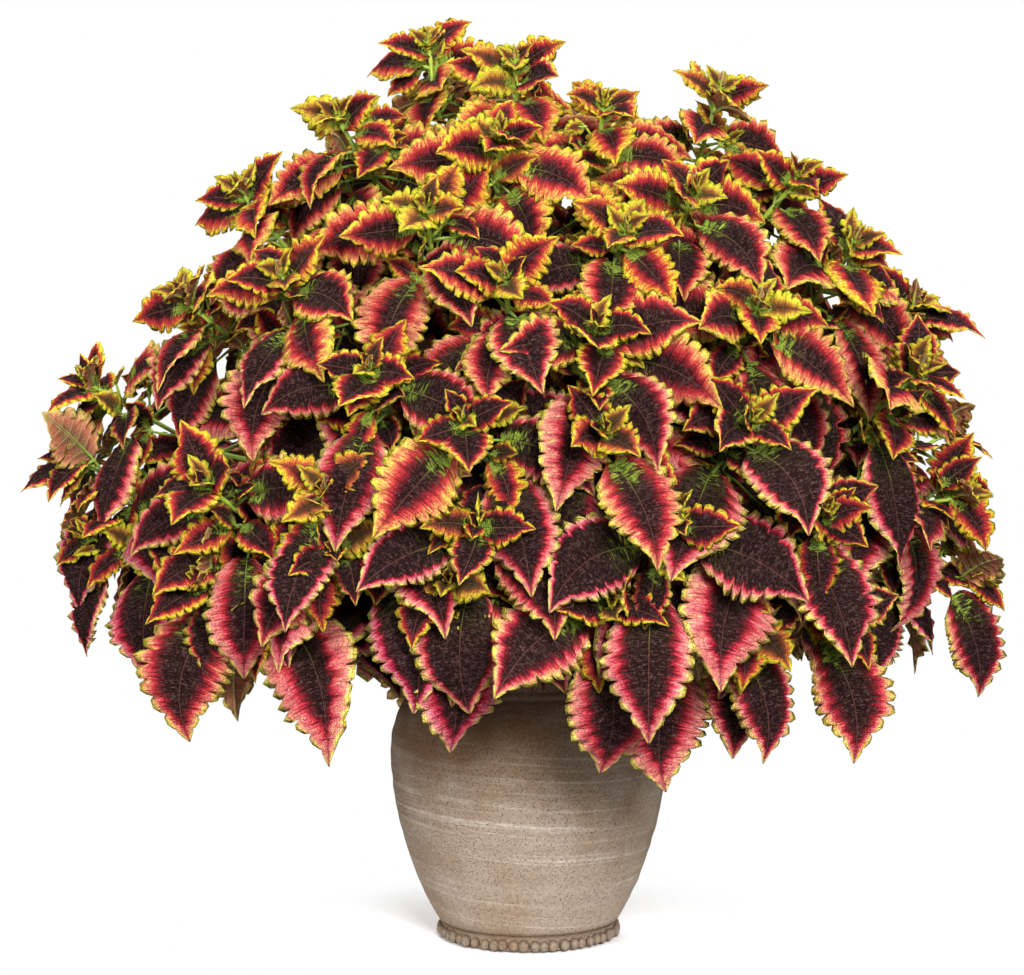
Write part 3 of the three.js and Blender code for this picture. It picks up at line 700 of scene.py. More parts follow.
@dataclass
class Thickening:
    """How the plant fills out: tip rosettes, short axil shoots and older pairs down its shoots.

    Lengths are in mm and angles in degrees.
    """

    high: float = 560.0  # tips above this have leaves between their pairs, and more axil shoots
    axil_nodes: tuple[float, ...] = (58, 28, 92, 126)  # below the tip
    low_nodes: int = 3  # how many of those a low tip has
    axil_lean: float = 42.0  # from the shoot
    axil_above: float = 1.0  # how far above its node a short shoot starts
    axil_length: float = 17.0
    axil_lengthening: float = 0.008  # share added for each mm below the tip
    axil_length_spread: float = 0.7
    axil_blade: float = 0.48
    axil_blade_spread: float = 0.5
    axil_radii: tuple[float, float] = (1.5, 1.1)
    axil_ways: int = 14  # how many nudges its leaves try
    axil_foot: float = 8.0  # bare stem left at a shoot's foot
    older_foot: float = 6.0
    most_older: int = 4
    lowest_pair: float = 292.0  # height of the lowest old pair
    inward: float = 0.35  # how much deeper inside the plant each old pair is, and so how much painted shade it has

    def rosette(self, shoot: Shoot) -> list[Leaves]:
        """The youngest pairs, folded together round a tip."""
        return [
            shoot.leaves(pair, hand, TIP_NUMBERS.of(shoot, rank, hand), NUDGES[:1])
            for rank, pair in enumerate(TIP_PAIRS)
            for hand in range(2)
        ]

    def between(self, shoot: Shoot, room: Room) -> list[Leaves]:
        """The leaves between the pairs of a high tip that find room."""
        return room.settle(
            shoot.leaves(pair, hand, BETWEEN_NUMBERS.of(shoot, rank, hand), NUDGES)
            for rank, pair in enumerate(BETWEEN_PAIRS if shoot.tip[2] > self.high else ())
            for hand in range(2)
        )

    def axil_shoot(self, shoot: Shoot, rank: int, hand: int) -> Shoot:
        """A short shoot on one side of a node, leaning out from its shoot."""
        below = self.axil_nodes[rank]
        number = AXIL_SHOOT_NUMBERS.of(shoot, rank, hand)
        lean = math.radians(self.axil_lean)
        out = shoot.pair_direction(math.radians(rank % 2 * 90 + hand * 180))
        axis = unit(shoot.axis * math.cos(lean) + out * math.sin(lean))
        node = shoot.point_below(below - self.axil_above)
        stretch = 1 + self.axil_lengthening * below + float(vary(number, self.axil_length_spread))
        tip = node + axis * (self.axil_length * stretch)
        spread = float(vary(number + 0.2, self.axil_blade_spread))
        blade = shoot.blade * self.axil_blade * (1 + spread)
        turn = float(scatter(number + 0.4)) * math.pi
        return Shoot(shoot.side, tip, axis, turn, blade, self.axil_radii, number,
                     np.array([node, tip]))

    def axil_shoots(self, shoot: Shoot) -> list[Shoot]:
        """The short shoots at a shoot's nodes."""
        count = len(self.axil_nodes) if shoot.tip[2] > self.high else self.low_nodes
        longest = shoot.reaches()[-1] - self.axil_foot
        return [
            self.axil_shoot(shoot, rank, hand)
            for rank, below in enumerate(self.axil_nodes[:count])
            for hand in range(2 if below < longest else 0)
        ]

    def axil_leaves(self, shoot: Shoot, room: Room) -> list[Leaves]:
        """The leaves of a short shoot that find room."""
        return room.settle(
            shoot.leaves(pair, hand, AXIL_LEAF_NUMBERS.of(shoot, rank, hand),
                         NUDGES[:self.axil_ways])
            for rank, pair in enumerate(AXIL_PAIRS)
            for hand in range(2)
        )

    def older_pairs(self, shoot: Shoot) -> list[LeafPair]:
        """Old pairs down a shoot, while it is over the pot."""
        pairs = []
        longest = shoot.reaches()[-1] - self.older_foot
        for step in range(self.most_older):
            below = PAIRS[0].below + OLDER_GAP * (step + 1)
            if below > longest or shoot.point_below(below)[2] < self.lowest_pair:
                break
            pairs.append(LeafPair(turn=-1 - step, below=below, open=88 + 2 * step, blade=1.02,
                                  petiole=0.36, droop=74 + 3 * step, age=1.0))
        return pairs

    def older(self, shoot: Shoot, room: Room) -> list[Leaves]:
        """The leaves of the old pairs that find room."""
        return room.settle(
            shoot.leaves(pair, hand, OLDER_NUMBERS.of(shoot, step, hand), NUDGES,
                         min(1.0, self.inward * step))
            for step, pair in enumerate(self.older_pairs(shoot))
            for hand in range(2)
        )


# ---- Meshes ----


class Finish(Enum):
    """Which finish a face of a leafy stem has, in the order of its material slots."""

    FACE = 0
    BACK = 1
    STEM = 2


@dataclass
class Skin:
    """Closed surfaces gathered for one mesh, with what their finishes read at each point.

    place holds the share along a blade, across it, the distance in from its margin and the
    closeness to a side vein. A stem's second value says how woody it is, and Clay tells what the
    pot's are. look is that of Leaves. grain is a point to lay streaks by.
    """

    points: list[np.ndarray] = field(default_factory=list)
    faces: list[np.ndarray] = field(default_factory=list)
    finish: list[np.ndarray] = field(default_factory=list)
    place: list[np.ndarray] = field(default_factory=list)
    look: list[np.ndarray] = field(default_factory=list)
    grain: list[np.ndarray] = field(default_factory=list)
    count: int = 0

    def add(self, points: np.ndarray, faces: np.ndarray, finish: Finish | np.ndarray,
            place: np.ndarray | None = None, look: np.ndarray | None = None,
            grain: np.ndarray | None = None) -> None:
        """Adds a surface.

        Args:
            points: (n, 3), mm.
            faces: (m, 4) corners, with -1 for the fourth of a triangle.
            finish: one for all faces, or a number for each.
            place: (n, 4), nothing for 0.
            look: (n, 4), nothing for 0.
            grain: (n, 3), nothing for the points themselves.
        """
        n = len(points)
        self.points.append(points)
        self.faces.append(np.where(faces < 0, -1, faces + self.count))
        numbers = np.full(len(faces), finish.value) if isinstance(finish, Finish) else finish
        self.finish.append(numbers)
        self.place.append(np.zeros((n, 4)) if place is None else place)
        self.look.append(np.zeros((n, 4)) if look is None else look)
        self.grain.append(points if grain is None else grain)
        self.count += n

    def piece(self, name: str, finishes: Sequence[bpy.types.Material], slot: str,
              node: str) -> bpy.types.Object:
        """Makes the object that stands for a node.

        Args:
            name: its name.
            finishes: its materials, in the order that its faces number them.
            slot: the record's material slot; not used.
            node: the node that it replaces.

        Returns:
            The object, at the origin, in metres.
        """
        points = np.concatenate(self.points) * METRES
        faces = np.concatenate(self.faces)
        corners = faces[faces >= 0]
        sizes = (faces >= 0).sum(1)
        mesh = bpy.data.meshes.new(name)
        mesh.vertices.add(len(points))
        mesh.vertices.foreach_set("co", points.astype(np.float32).ravel())
        mesh.loops.add(len(corners))
        mesh.loops.foreach_set("vertex_index", corners.astype(np.int32))
        mesh.polygons.add(len(faces))
        starts = np.concatenate([[0], np.cumsum(sizes)[:-1]])
        mesh.polygons.foreach_set("loop_start", starts.astype(np.int32))
        mesh.polygons.foreach_set("material_index", np.concatenate(self.finish).astype(np.int32))
        mesh.update(calc_edges=True)
        mesh.polygons.foreach_set("use_smooth", np.ones(len(faces), bool))
        for key in ("place", "look"):
            values = np.concatenate(getattr(self, key)).astype(np.float32)
            mesh.attributes.new(key, "FLOAT_COLOR", "POINT").data.foreach_set(
                "color", values.ravel())
        grain = np.concatenate(self.grain).astype(np.float32)
        mesh.attributes.new("grain", "FLOAT_VECTOR", "POINT").data.foreach_set(
            "vector", grain.ravel())
        for material in finishes:
            mesh.materials.append(material)
        piece = bpy.data.objects.new(name, mesh)
        bpy.context.scene.collection.objects.link(piece)
        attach(piece, "root")
        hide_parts(node)
        triangles = int((sizes - 2).sum())
        log.info("%s: %d triangles", name, triangles)
        return piece


def tube_faces(rings: int, sides: int) -> np.ndarray:
    """Faces of a tube of rings with a pole at each end: pole, rings from first to last, pole."""
    ring = np.arange(rings - 1)[:, None] * sides + 1
    here = np.arange(sides)
    there = (here + 1) % sides
    walls = np.stack([ring + here, ring + there, ring + sides + there, ring + sides + here], -1)
    none = np.full(sides, -1)
    last = 1 + (rings - 1) * sides
    start = np.stack([np.zeros(sides, int), 1 + there, 1 + here, none], -1)
    end = np.stack([np.full(sides, last + sides), last + here, last + there, none], -1)
    return np.concatenate([start, walls.reshape(-1, 4), end])


def repeat_faces(faces: np.ndarray, copies: int, size: int) -> np.ndarray:
    """The same faces for each of several copies of a surface of a given number of points."""
    shifted = faces[None] + np.arange(copies)[:, None, None] * size
    return np.where(faces[None] < 0, -1, shifted).reshape(-1, 4)


@dataclass(frozen=True)
class BladeMesh:
    """How finely a leaf is drawn: lobes a side, rows to a lobe, columns a side, rib rings."""

    lobes: int
    rows_per_lobe: int
    half_columns: int
    rib_rings: int
    shortest: float  # blade it is used from, mm


class BladeSize(Enum):
    """Sizes of blade, from the largest down, and the plainer ones deep inside the plant."""

    LARGE = BladeMesh(lobes=9, rows_per_lobe=4, half_columns=4, rib_rings=7, shortest=92)
    MEDIUM = BladeMesh(lobes=7, rows_per_lobe=4, half_columns=3, rib_rings=6, shortest=62)
    SMALL = BladeMesh(lobes=5, rows_per_lobe=4, half_columns=2, rib_rings=4, shortest=34)
    BUD = BladeMesh(lobes=3, rows_per_lobe=3, half_columns=2, rib_rings=3, shortest=0)
    INNER = BladeMesh(lobes=5, rows_per_lobe=3, half_columns=2, rib_rings=4, shortest=0)

    @classmethod
    def of(cls, blades: np.ndarray, inward: np.ndarray) -> np.ndarray:
        """The place in this list of the size for each blade length and inwardness."""
        limits = np.array([size.value.shortest for size in cls][:-1])
        sizes = (blades[:, None] < limits).sum(1)
        plainer = (inward > DEEP_INSIDE) & (blades > cls.SMALL.value.shortest)
        return np.where(plainer, list(cls).index(cls.INNER), sizes)


@dataclass(frozen=True)
class BladeForm:
    """The outline and relief of a blade. Lengths are shares of the blade's length."""

    half_width: float = 0.34
    fullness: tuple[float, float] = (0.72, 1.0)
    drip_tip: float = 0.45  # how much narrower the last part is
    shoulder: float = 0.11  # where the lobed margin starts
    tip_width: float = 0.004
    broad: float = 1.02  # a leaf's width for the plain one's, and its spread
    broad_spread: float = 0.24
    notch: float = 0.17  # depth between the lobes, for the width
    young_notch: float = 0.26  # added depth on the youngest leaves
    notch_spread: float = 0.9
    crowding: float = 0.1  # how far rows move towards the notches, for a lobe's length
    outward: float = 0.85  # power of a column's share, which moves columns to the margin
    roundness: float = 0.32  # power of the sine that a lobe's outline is
    uneven: float = 0.12  # how far lobes stand out or back, for the width
    forward: float = 1.25  # power of the reach by which a row runs on towards its margin
    fold: tuple[float, float] = (0.16, 0.3)  # rise of the margin for its distance, and its spread
    arch: float = 0.12  # pillow between rib and margin, for the width
    curl: float = 0.11  # fall of the margin itself
    quilt: float = 0.034  # rise of the blade between its side veins
    lobe: float = 0.05  # rise of a lobe over its notches
    ruffle: float = 0.06  # rise and fall of the margin in slow waves
    ruffle_waves: float = 1.3  # fewest over the blade; chance adds up to one
    full_width: float = 0.3  # width that has all its relief from 0.6 of it on
    half_thickness: float = 0.26  # mm
    sway: float = 0.07  # how far the rib's middle strays to a side
    tilt: float = 0.5  # radians about the rib, either way by half
    twist: float = 0.9  # radians over the blade
    hook: float = 0.16  # how far the tip lifts or falls, either way by half
    hook_fall: float = 0.02  # and falls more on every leaf

    def outline(self, share: np.ndarray) -> np.ndarray:
        """Half the width: share^a (1 - share)^b, scaled to its greatest value, then drawn in."""
        a, b = self.fullness
        widest = a / (a + b)
        peak = widest**a * (1 - widest) ** b
        inner = np.clip(share, 0, 1)
        drawn_in = 1 - self.drip_tip * smooth_step(0.6, 0.97, inner)
        return self.half_width * inner**a * (1 - inner) ** b / peak * drawn_in + self.tip_width


@dataclass(frozen=True)
class RibForm:
    """The petiole and midrib, one thin tube. Lengths are in mm."""

    sides: int = 4
    start: float = -1.5  # from the middle of the stem
    end: float = 0.93  # share of the blade
    crowding: float = 1.1  # power of a ring's share, which moves rings to the stem
    radius: float = 0.75
    thickening: float = 0.006  # radius added for each mm of blade
    taper: float = 0.82  # over the whole blade
    flare: float = 0.5  # share of the radius added at the stem
    flare_length: float = 3.0
    sunk: float = 0.75  # how deep it lies in the blade's back, for its radius


BLADE = BladeForm()
RIB = RibForm()


@dataclass(frozen=True)
class BladeGrid:
    """The grid that a blade is drawn on: rows along it and columns across it."""

    along: np.ndarray  # each row's share of the lobed part, (rows, 1)
    across: np.ndarray  # each column's share of the width, from -1 to 1, (1, columns)
    lobe: np.ndarray  # 0 at a notch and 1 in the middle of a lobe, (rows, columns)

    @classmethod
    def of(cls, size: BladeMesh) -> "BladeGrid":
        """The grid of a size of blade."""
        rows = size.lobes * size.rows_per_lobe + 1
        run = np.linspace(0, size.lobes, rows)[:, None]
        along = (run - BLADE.crowding * np.sin(2 * np.pi * run)) / size.lobes
        even = np.linspace(-1, 1, 2 * size.half_columns + 1)[None]
        across = np.sign(even) * np.abs(even) ** BLADE.outward
        return cls(along, across, np.abs(np.sin(np.pi * size.lobes * along)) * np.ones_like(even))

    @property
    def reach(self) -> np.ndarray:
        """Each column's distance from the rib, from 0 to 1."""
        return np.abs(self.across)

    def half_thickness(self) -> np.ndarray:
        """Half the thickness at each point in mm: none along the margin, where the faces meet."""
        half = np.zeros_like(self.lobe)
        half[1:-1, 1:-1] = (BLADE.half_thickness * (1 - self.reach**4))[:, 1:-1]
        return half

    def points(self) -> int:
        """How many points a blade has: the top's, and those that the underside has to itself."""
        rows, columns = self.lobe.shape
        return rows * columns + (rows - 2) * (columns - 2)

    def faces(self) -> tuple[np.ndarray, np.ndarray]:
        """The faces of the top and of the underside, and the finish of each."""
        rows, columns = self.lobe.shape
        top = np.arange(rows * columns).reshape(rows, columns)
        under = top.copy()
        own = np.arange(rows * columns, self.points())
        under[1:-1, 1:-1] = own.reshape(rows - 2, columns - 2)
        upper, lower = (
            np.stack([grid[:-1, :-1], grid[:-1, 1:], grid[1:, 1:], grid[1:, :-1]], -1)
            for grid in (top, under)
        )
        upper = upper.reshape(-1, 4)
        lower = lower.reshape(-1, 4)[:, [0, 3, 2, 1]]
        finish = [np.full(len(upper), Finish.FACE.value), np.full(len(lower), Finish.BACK.value)]
        return np.concatenate([upper, lower]), np.concatenate(finish)


def stacked(*parts: np.ndarray) -> np.ndarray:
    """Several values of each point along one last axis."""
    return np.stack(np.broadcast_arrays(*parts), -1)


def both_sides(top: np.ndarray, under: np.ndarray) -> np.ndarray:
    """Values of a blade's top and of the points that its underside has to itself.

    Args:
        top: (leaves, rows, columns, values).
        under: the same, of which the margin is left out.

    Returns:
        Leaf by leaf, (points, values).
    """
    leaves, values = len(top), top.shape[-1]
    own = under[:, 1:-1, 1:-1].reshape(leaves, -1, values)
    return np.concatenate([top.reshape(leaves, -1, values), own], 1).reshape(-1, values)


@dataclass
class LeafMaker:
    """Draws many leaves of one size at once: two-faced blades, and ribs with petioles."""

    leaves: Leaves
    size: BladeMesh

    def drawn_rib(self, share: np.ndarray) -> tuple[np.ndarray, np.ndarray, np.ndarray]:
        """The rib as it is drawn: the plain one swayed, hooked at its tip, tilted and twisted.

        Sway is a sine over the blade, the hook grows with the share cubed and the twist with
        the share. The tilt is the same all over the blade.

        Args:
            share: shares of the blade's length, (leaves, ...).

        Returns:
            Point, normal and side, each (leaves, ..., 3).
        """
        leaves = self.leaves
        lead = (slice(None),) + (None,) * (share.ndim - 1)
        point, normal, side = leaves.rib(leaves.petiole[lead] + share * leaves.blade[lead])
        on_blade = np.clip(share, 0, 1)
        twist = vary(leaves.serial + 0.11, BLADE.twist)[lead] * on_blade
        twist = twist + vary(leaves.serial + 0.17, BLADE.tilt)[lead]
        turned = normal * np.cos(twist)[..., None] + side * np.sin(twist)[..., None]
        side = side * np.cos(twist)[..., None] - normal * np.sin(twist)[..., None]
        blade = leaves.blade[lead]
        sway = vary(leaves.serial + 0.23, 2 * BLADE.sway)[lead] * blade * np.sin(np.pi * on_blade)
        hook = vary(leaves.serial + 0.37, BLADE.hook) - BLADE.hook_fall
        hook = hook[lead] * blade * on_blade**3
        point = point + side * sway[..., None] + turned * hook[..., None]
        return point, turned, side

    def lobing(self, grid: BladeGrid) -> np.ndarray:
        """How far the margin is drawn in at each point, for the width.

        A lobe is a root of a sine, so it is round with a narrow notch. Notches are deeper on
        young leaves and end before the tip, and whole lobes stand out or back.
        """
        serial = self.leaves.serial[:, None, None]
        age = self.leaves.look[:, 0][:, None, None]
        lobes = grid.along * self.size.lobes
        spot = serial + np.round(lobes) * 0.37 + np.sign(grid.across) * 0.13
        depth = BLADE.notch + BLADE.young_notch * (1 - age)
        depth = depth * (1 + vary(spot, BLADE.notch_spread))
        depth = depth * smooth_step(0, 0.2, 1 - grid.along)
        spot = serial + np.floor(lobes) * 0.29 + np.sign(grid.across) * 0.17
        proud = vary(spot + 0.5, BLADE.uneven)
        return depth * (1 - grid.lobe**BLADE.roundness) - proud * grid.lobe

    def relief(self, grid: BladeGrid, aside: np.ndarray, width: np.ndarray) -> np.ndarray:
        """How far each point stands over the rib: fold, pillows, lobes and a slow ruffle.

        Args:
            grid: the blades' grid.
            aside: each point's distance from the rib.
            width: half the plain width of its row.

        Returns:
            Shares of the blade's length, as aside and width are.
        """
        serial = self.leaves.serial[:, None, None]
        reach, lobe = grid.reach, grid.lobe
        chance = scatter(serial + 0.71)
        waves = (BLADE.ruffle_waves + chance) * grid.along + chance * 7
        slow = np.sin(2 * np.pi * waves + 2.2 * np.sign(grid.across))
        full = smooth_step(0, 0.6, width / BLADE.full_width)
        fold = BLADE.fold[0] + vary(serial + 0.93, BLADE.fold[1])
        pillow = np.sin(np.pi * reach)
        rise = fold * np.abs(aside) + BLADE.arch * width * pillow / 2
        rise = rise + BLADE.quilt * (1 - lobe) * pillow * full
        rise = rise + BLADE.lobe * (lobe - 0.5) * reach**3 * full
        return rise + (BLADE.ruffle * slow - BLADE.curl * width * (1 + slow)) * reach**3 * full

    def blades(self, skin: Skin) -> None:
        """Adds the blades.

        A row leaves the rib at its share and reaches the margin further on, as the side veins
        do. A point is the rib's at that share, moved aside by its column's part of the lobed
        width and raised by the relief. A notch is cut square to the margin's own slope.
        """
        leaves, grid = self.leaves, BladeGrid.of(self.size)
        a, t, reach = grid.along, grid.across, grid.reach
        serial = leaves.serial[:, None, None]
        blade = leaves.blade[:, None, None]
        margin = BLADE.shoulder + (1 - BLADE.shoulder) * a
        width = BLADE.outline(margin) * (BLADE.broad + vary(serial + 0.61, BLADE.broad_spread))
        slope = (BLADE.outline(margin + 0.01) - BLADE.outline(margin - 0.01)) / 0.02
        inset = self.lobing(grid) * width * reach**3 / np.sqrt(1 + slope**2)
        aside = t * width - np.sign(t) * inset
        share = a + (margin - a) * reach ** (BLADE.forward + (1 - a) ** 8) + inset * slope
        rise = self.relief(grid, aside, width)
        point, normal, side = self.drawn_rib(np.broadcast_to(share, rise.shape))
        centre = point + side * (aside * blade)[..., None] + normal * (rise * blade)[..., None]
        half = grid.half_thickness()[None, ..., None]
        edge = (1 - reach) * (width / BLADE.half_width) ** 0.5 * np.ones_like(aside)
        place = stacked(a, reach, edge, grid.lobe)
        grain = stacked(a * self.size.lobes + serial * 3.7, t, np.abs(aside) * blade)
        look = np.broadcast_to(leaves.look[:, None, None], (*aside.shape, 4))
        faces, finish = grid.faces()
        skin.add(
            both_sides(centre + normal * half, centre - normal * half),
            repeat_faces(faces, len(leaves), grid.points()),
            np.tile(finish, len(leaves)),
            both_sides(place, place),
            both_sides(look, look),
            both_sides(grain, grain),
        )

    def ribs(self, skin: Skin) -> None:
        """Adds each leaf's petiole and midrib as one tube that sinks into the blade's back.

        The radius is widest at the stem, even along the petiole and falls evenly to the tip.
        """
        leaves = self.leaves
        total = leaves.petiole + leaves.blade * RIB.end
        share = np.linspace(0, 1, self.size.rib_rings)[None] ** RIB.crowding
        distance = RIB.start + share * (total - RIB.start)[:, None]
        on_blade = (distance - leaves.petiole[:, None]) / leaves.blade[:, None]
        point, normal, side = self.drawn_rib(on_blade)
        thick = (RIB.radius + RIB.thickening * leaves.blade)[:, None]
        radius = thick * (1 - RIB.taper * np.clip(on_blade, 0, 1))
        radius = radius * (1 + RIB.flare * np.exp(-distance / RIB.flare_length))
        sunk = radius * RIB.sunk * smooth_step(-0.06, 0.05, on_blade)
        point = point - normal * sunk[..., None]
        angle = np.linspace(0, 2 * np.pi, RIB.sides, endpoint=False)
        ring = (-side[:, :, None] * np.cos(angle)[:, None] + normal[:, :, None]
                * np.sin(angle)[:, None]) * radius[..., None, None]
        walls = (point[:, :, None] + ring).reshape(len(leaves), -1, 3)
        points = np.concatenate([point[:, :1], walls, point[:, -1:]], 1)
        look = np.broadcast_to(leaves.look[:, None], (len(leaves), points.shape[1], 4))
        along = np.repeat(np.clip(on_blade, 0, 1), RIB.sides, 1)
        along = np.concatenate([along[:, :1], along, along[:, -1:]], 1)
        place = np.zeros((*along.shape, 4))
        place[..., 0] = along
        skin.add(
            points.reshape(-1, 3),
            repeat_faces(tube_faces(self.size.rib_rings, RIB.sides), len(leaves), points.shape[1]),
            Finish.STEM,
            place.reshape(-1, 4),
            look.reshape(-1, 4),
        )


@dataclass(frozen=True)
class StemForm:
    """How a stem is drawn: a square tube with rounded corners, swollen where leaves grow."""

    step: float = 9.0  # between rings, mm
    sides: int = 12
    small_sides: int = 6  # of a stem in an axil
    squareness: float = 4.0
    flat: float = 0.86  # half the width between two flat sides, for the shoot's radius
    swelling: float = 0.32
    swelling_half: float = 3.5  # mm
    older_nodes: int = 6  # below its own pairs
    past_tip: float = 7.0  # mm
    narrowed: float = 0.7  # past the tip
    woody: float = 0.5  # share of a leader that turns woody
    age: float = 0.3

    def path(self, shoot: Shoot) -> tuple[np.ndarray, np.ndarray]:
        """The shoot's own path at even steps, with rounded corners and a short part past its tip.

        Corners are rounded by averaging each ring with its neighbours, twice.

        Returns:
            The middles of the rings, and how far along the stem they are.
        """
        reach = shoot.reaches()
        at = np.linspace(0, reach[-1], max(3, int(reach[-1] / self.step)))
        path = np.stack([np.interp(at, reach, shoot.points[:, k]) for k in range(3)], -1)
        for _ in range(2):
            path[1:-1] = (path[:-2] + 2 * path[1:-1] + path[2:]) / 4
        beyond = np.array([0.5, 1.0]) * self.past_tip
        path = np.concatenate([path, path[-1] + beyond[:, None] * shoot.axis])
        return path, np.concatenate([at, at[-1] + beyond])

    def radii(self, shoot: Shoot, at: np.ndarray) -> np.ndarray:
        """The radius of each ring: even from foot to tip, swollen where leaves grow."""
        length = shoot.reaches()[-1]
        share = at / length
        radius = shoot.radii[0] + (shoot.radii[1] - shoot.radii[0]) * share
        nodes = length - np.array([pair.below for pair in PAIRS])
        older = nodes[0] - OLDER_GAP * np.arange(1, self.older_nodes + 1)
        nodes = np.concatenate([nodes, older])
        swell = np.exp(-(((at[:, None] - nodes) / self.swelling_half) ** 2)).sum(1)
        return radius * (1 + self.swelling * swell) * np.where(share > 1, self.narrowed, 1.0)

    def add(self, skin: Skin, shoot: Shoot, is_leader: bool) -> None:
        """Adds a shoot's stem. A section is the curve |x|^p + |y|^p = 1.

        Args:
            skin: what it is added to.
            shoot: the shoot.
            is_leader: whether it stands in the soil.
        """
        sides = self.sides if len(shoot.points) > 2 else self.small_sides
        path, at = self.path(shoot)
        along = unit(np.gradient(path, axis=0))
        face = shoot.pair_direction(0.0)
        across = unit(face - along * (along @ face)[:, None])
        up = np.cross(along, across)
        angle = np.linspace(0, 2 * np.pi, sides, endpoint=False) + np.pi / sides
        cos, sin = np.cos(angle), np.sin(angle)
        square = (np.abs(cos) ** self.squareness + np.abs(sin) ** self.squareness)
        section = self.flat / square ** (1 / self.squareness)
        ring = across[:, None] * (cos * section)[:, None] + up[:, None] * (sin * section)[:, None]
        ring = ring * self.radii(shoot, at)[:, None, None]
        walls = (path[:, None] + ring).reshape(-1, 3)
        points = np.concatenate([path[:1], walls, path[-1:]])
        place = np.zeros((len(points), 4))
        if is_leader:
            share = at / shoot.reaches()[-1]
            woody = np.clip(1 - share / self.woody, 0, 1)
            place[1:-1, 1] = np.repeat(woody, sides)
            place[0, 1] = woody[0]
        look = np.tile(shoot.look(self.age, float(shoot.serial), 0.0), (len(points), 1))
        skin.add(points, tube_faces(len(path), sides), Finish.STEM, place, look)


STEM = StemForm()


# ---- Finishes ----


def paint(red: float, green: float, blue: float) -> tuple[float, float, float, float]:
    """A linear colour from display values of 0 to 255."""
    shares = np.array([red, green, blue]) / 255
    linear = np.where(shares <= 0.04045, shares / 12.92, ((shares + 0.055) / 1.055) ** 2.4)
    return (*(float(part) for part in linear), 1.0)


Colour = tuple[float, float, float]
Stops = tuple[tuple[float, Colour], ...]


@dataclass(frozen=True)
class Value:
    """A number or colour that varies over a surface, for sums written as Python."""

    shader: "Shader"
    socket: bpy.types.NodeSocket

    def maths(self, operation: str, *others: "Value | float") -> "Value":
        """A Math node on this value and others."""
        return self.shader.maths(operation, self, *others)

    def __add__(self, other: "Value | float") -> "Value":
        """This plus other."""
        return self.maths("ADD", other)

    def __radd__(self, other: float) -> "Value":
        """Other plus this."""
        return self.maths("ADD", other)

    def __sub__(self, other: "Value | float") -> "Value":
        """This less other."""
        return self.maths("SUBTRACT", other)

    def __rsub__(self, other: float) -> "Value":
        """Other less this."""
        return self.shader.maths("SUBTRACT", other, self)

    def __mul__(self, other: "Value | float") -> "Value":
        """This times other."""
        return self.maths("MULTIPLY", other)

    def __rmul__(self, other: float) -> "Value":
        """Other times this."""
        return self.maths("MULTIPLY", other)

    def __pow__(self, other: float) -> "Value":
        """This to a power."""
        return self.maths("POWER", other)

    def step(self, low: float, high: float) -> "Value":
        """0 below low and 1 above high, smooth between."""
        node = self.shader.node(
            "ShaderNodeMapRange", {"interpolation_type": "SMOOTHSTEP"},
            {"Value": self, "From Min": low, "From Max": high})
        return Value(self.shader, node.outputs["Result"])

    def parts(self) -> tuple["Value", "Value", "Value"]:
        """The three numbers of a vector or colour."""
        node = self.shader.node("ShaderNodeSeparateXYZ", {}, {"Vector": self})
        return tuple(Value(self.shader, output) for output in node.outputs)


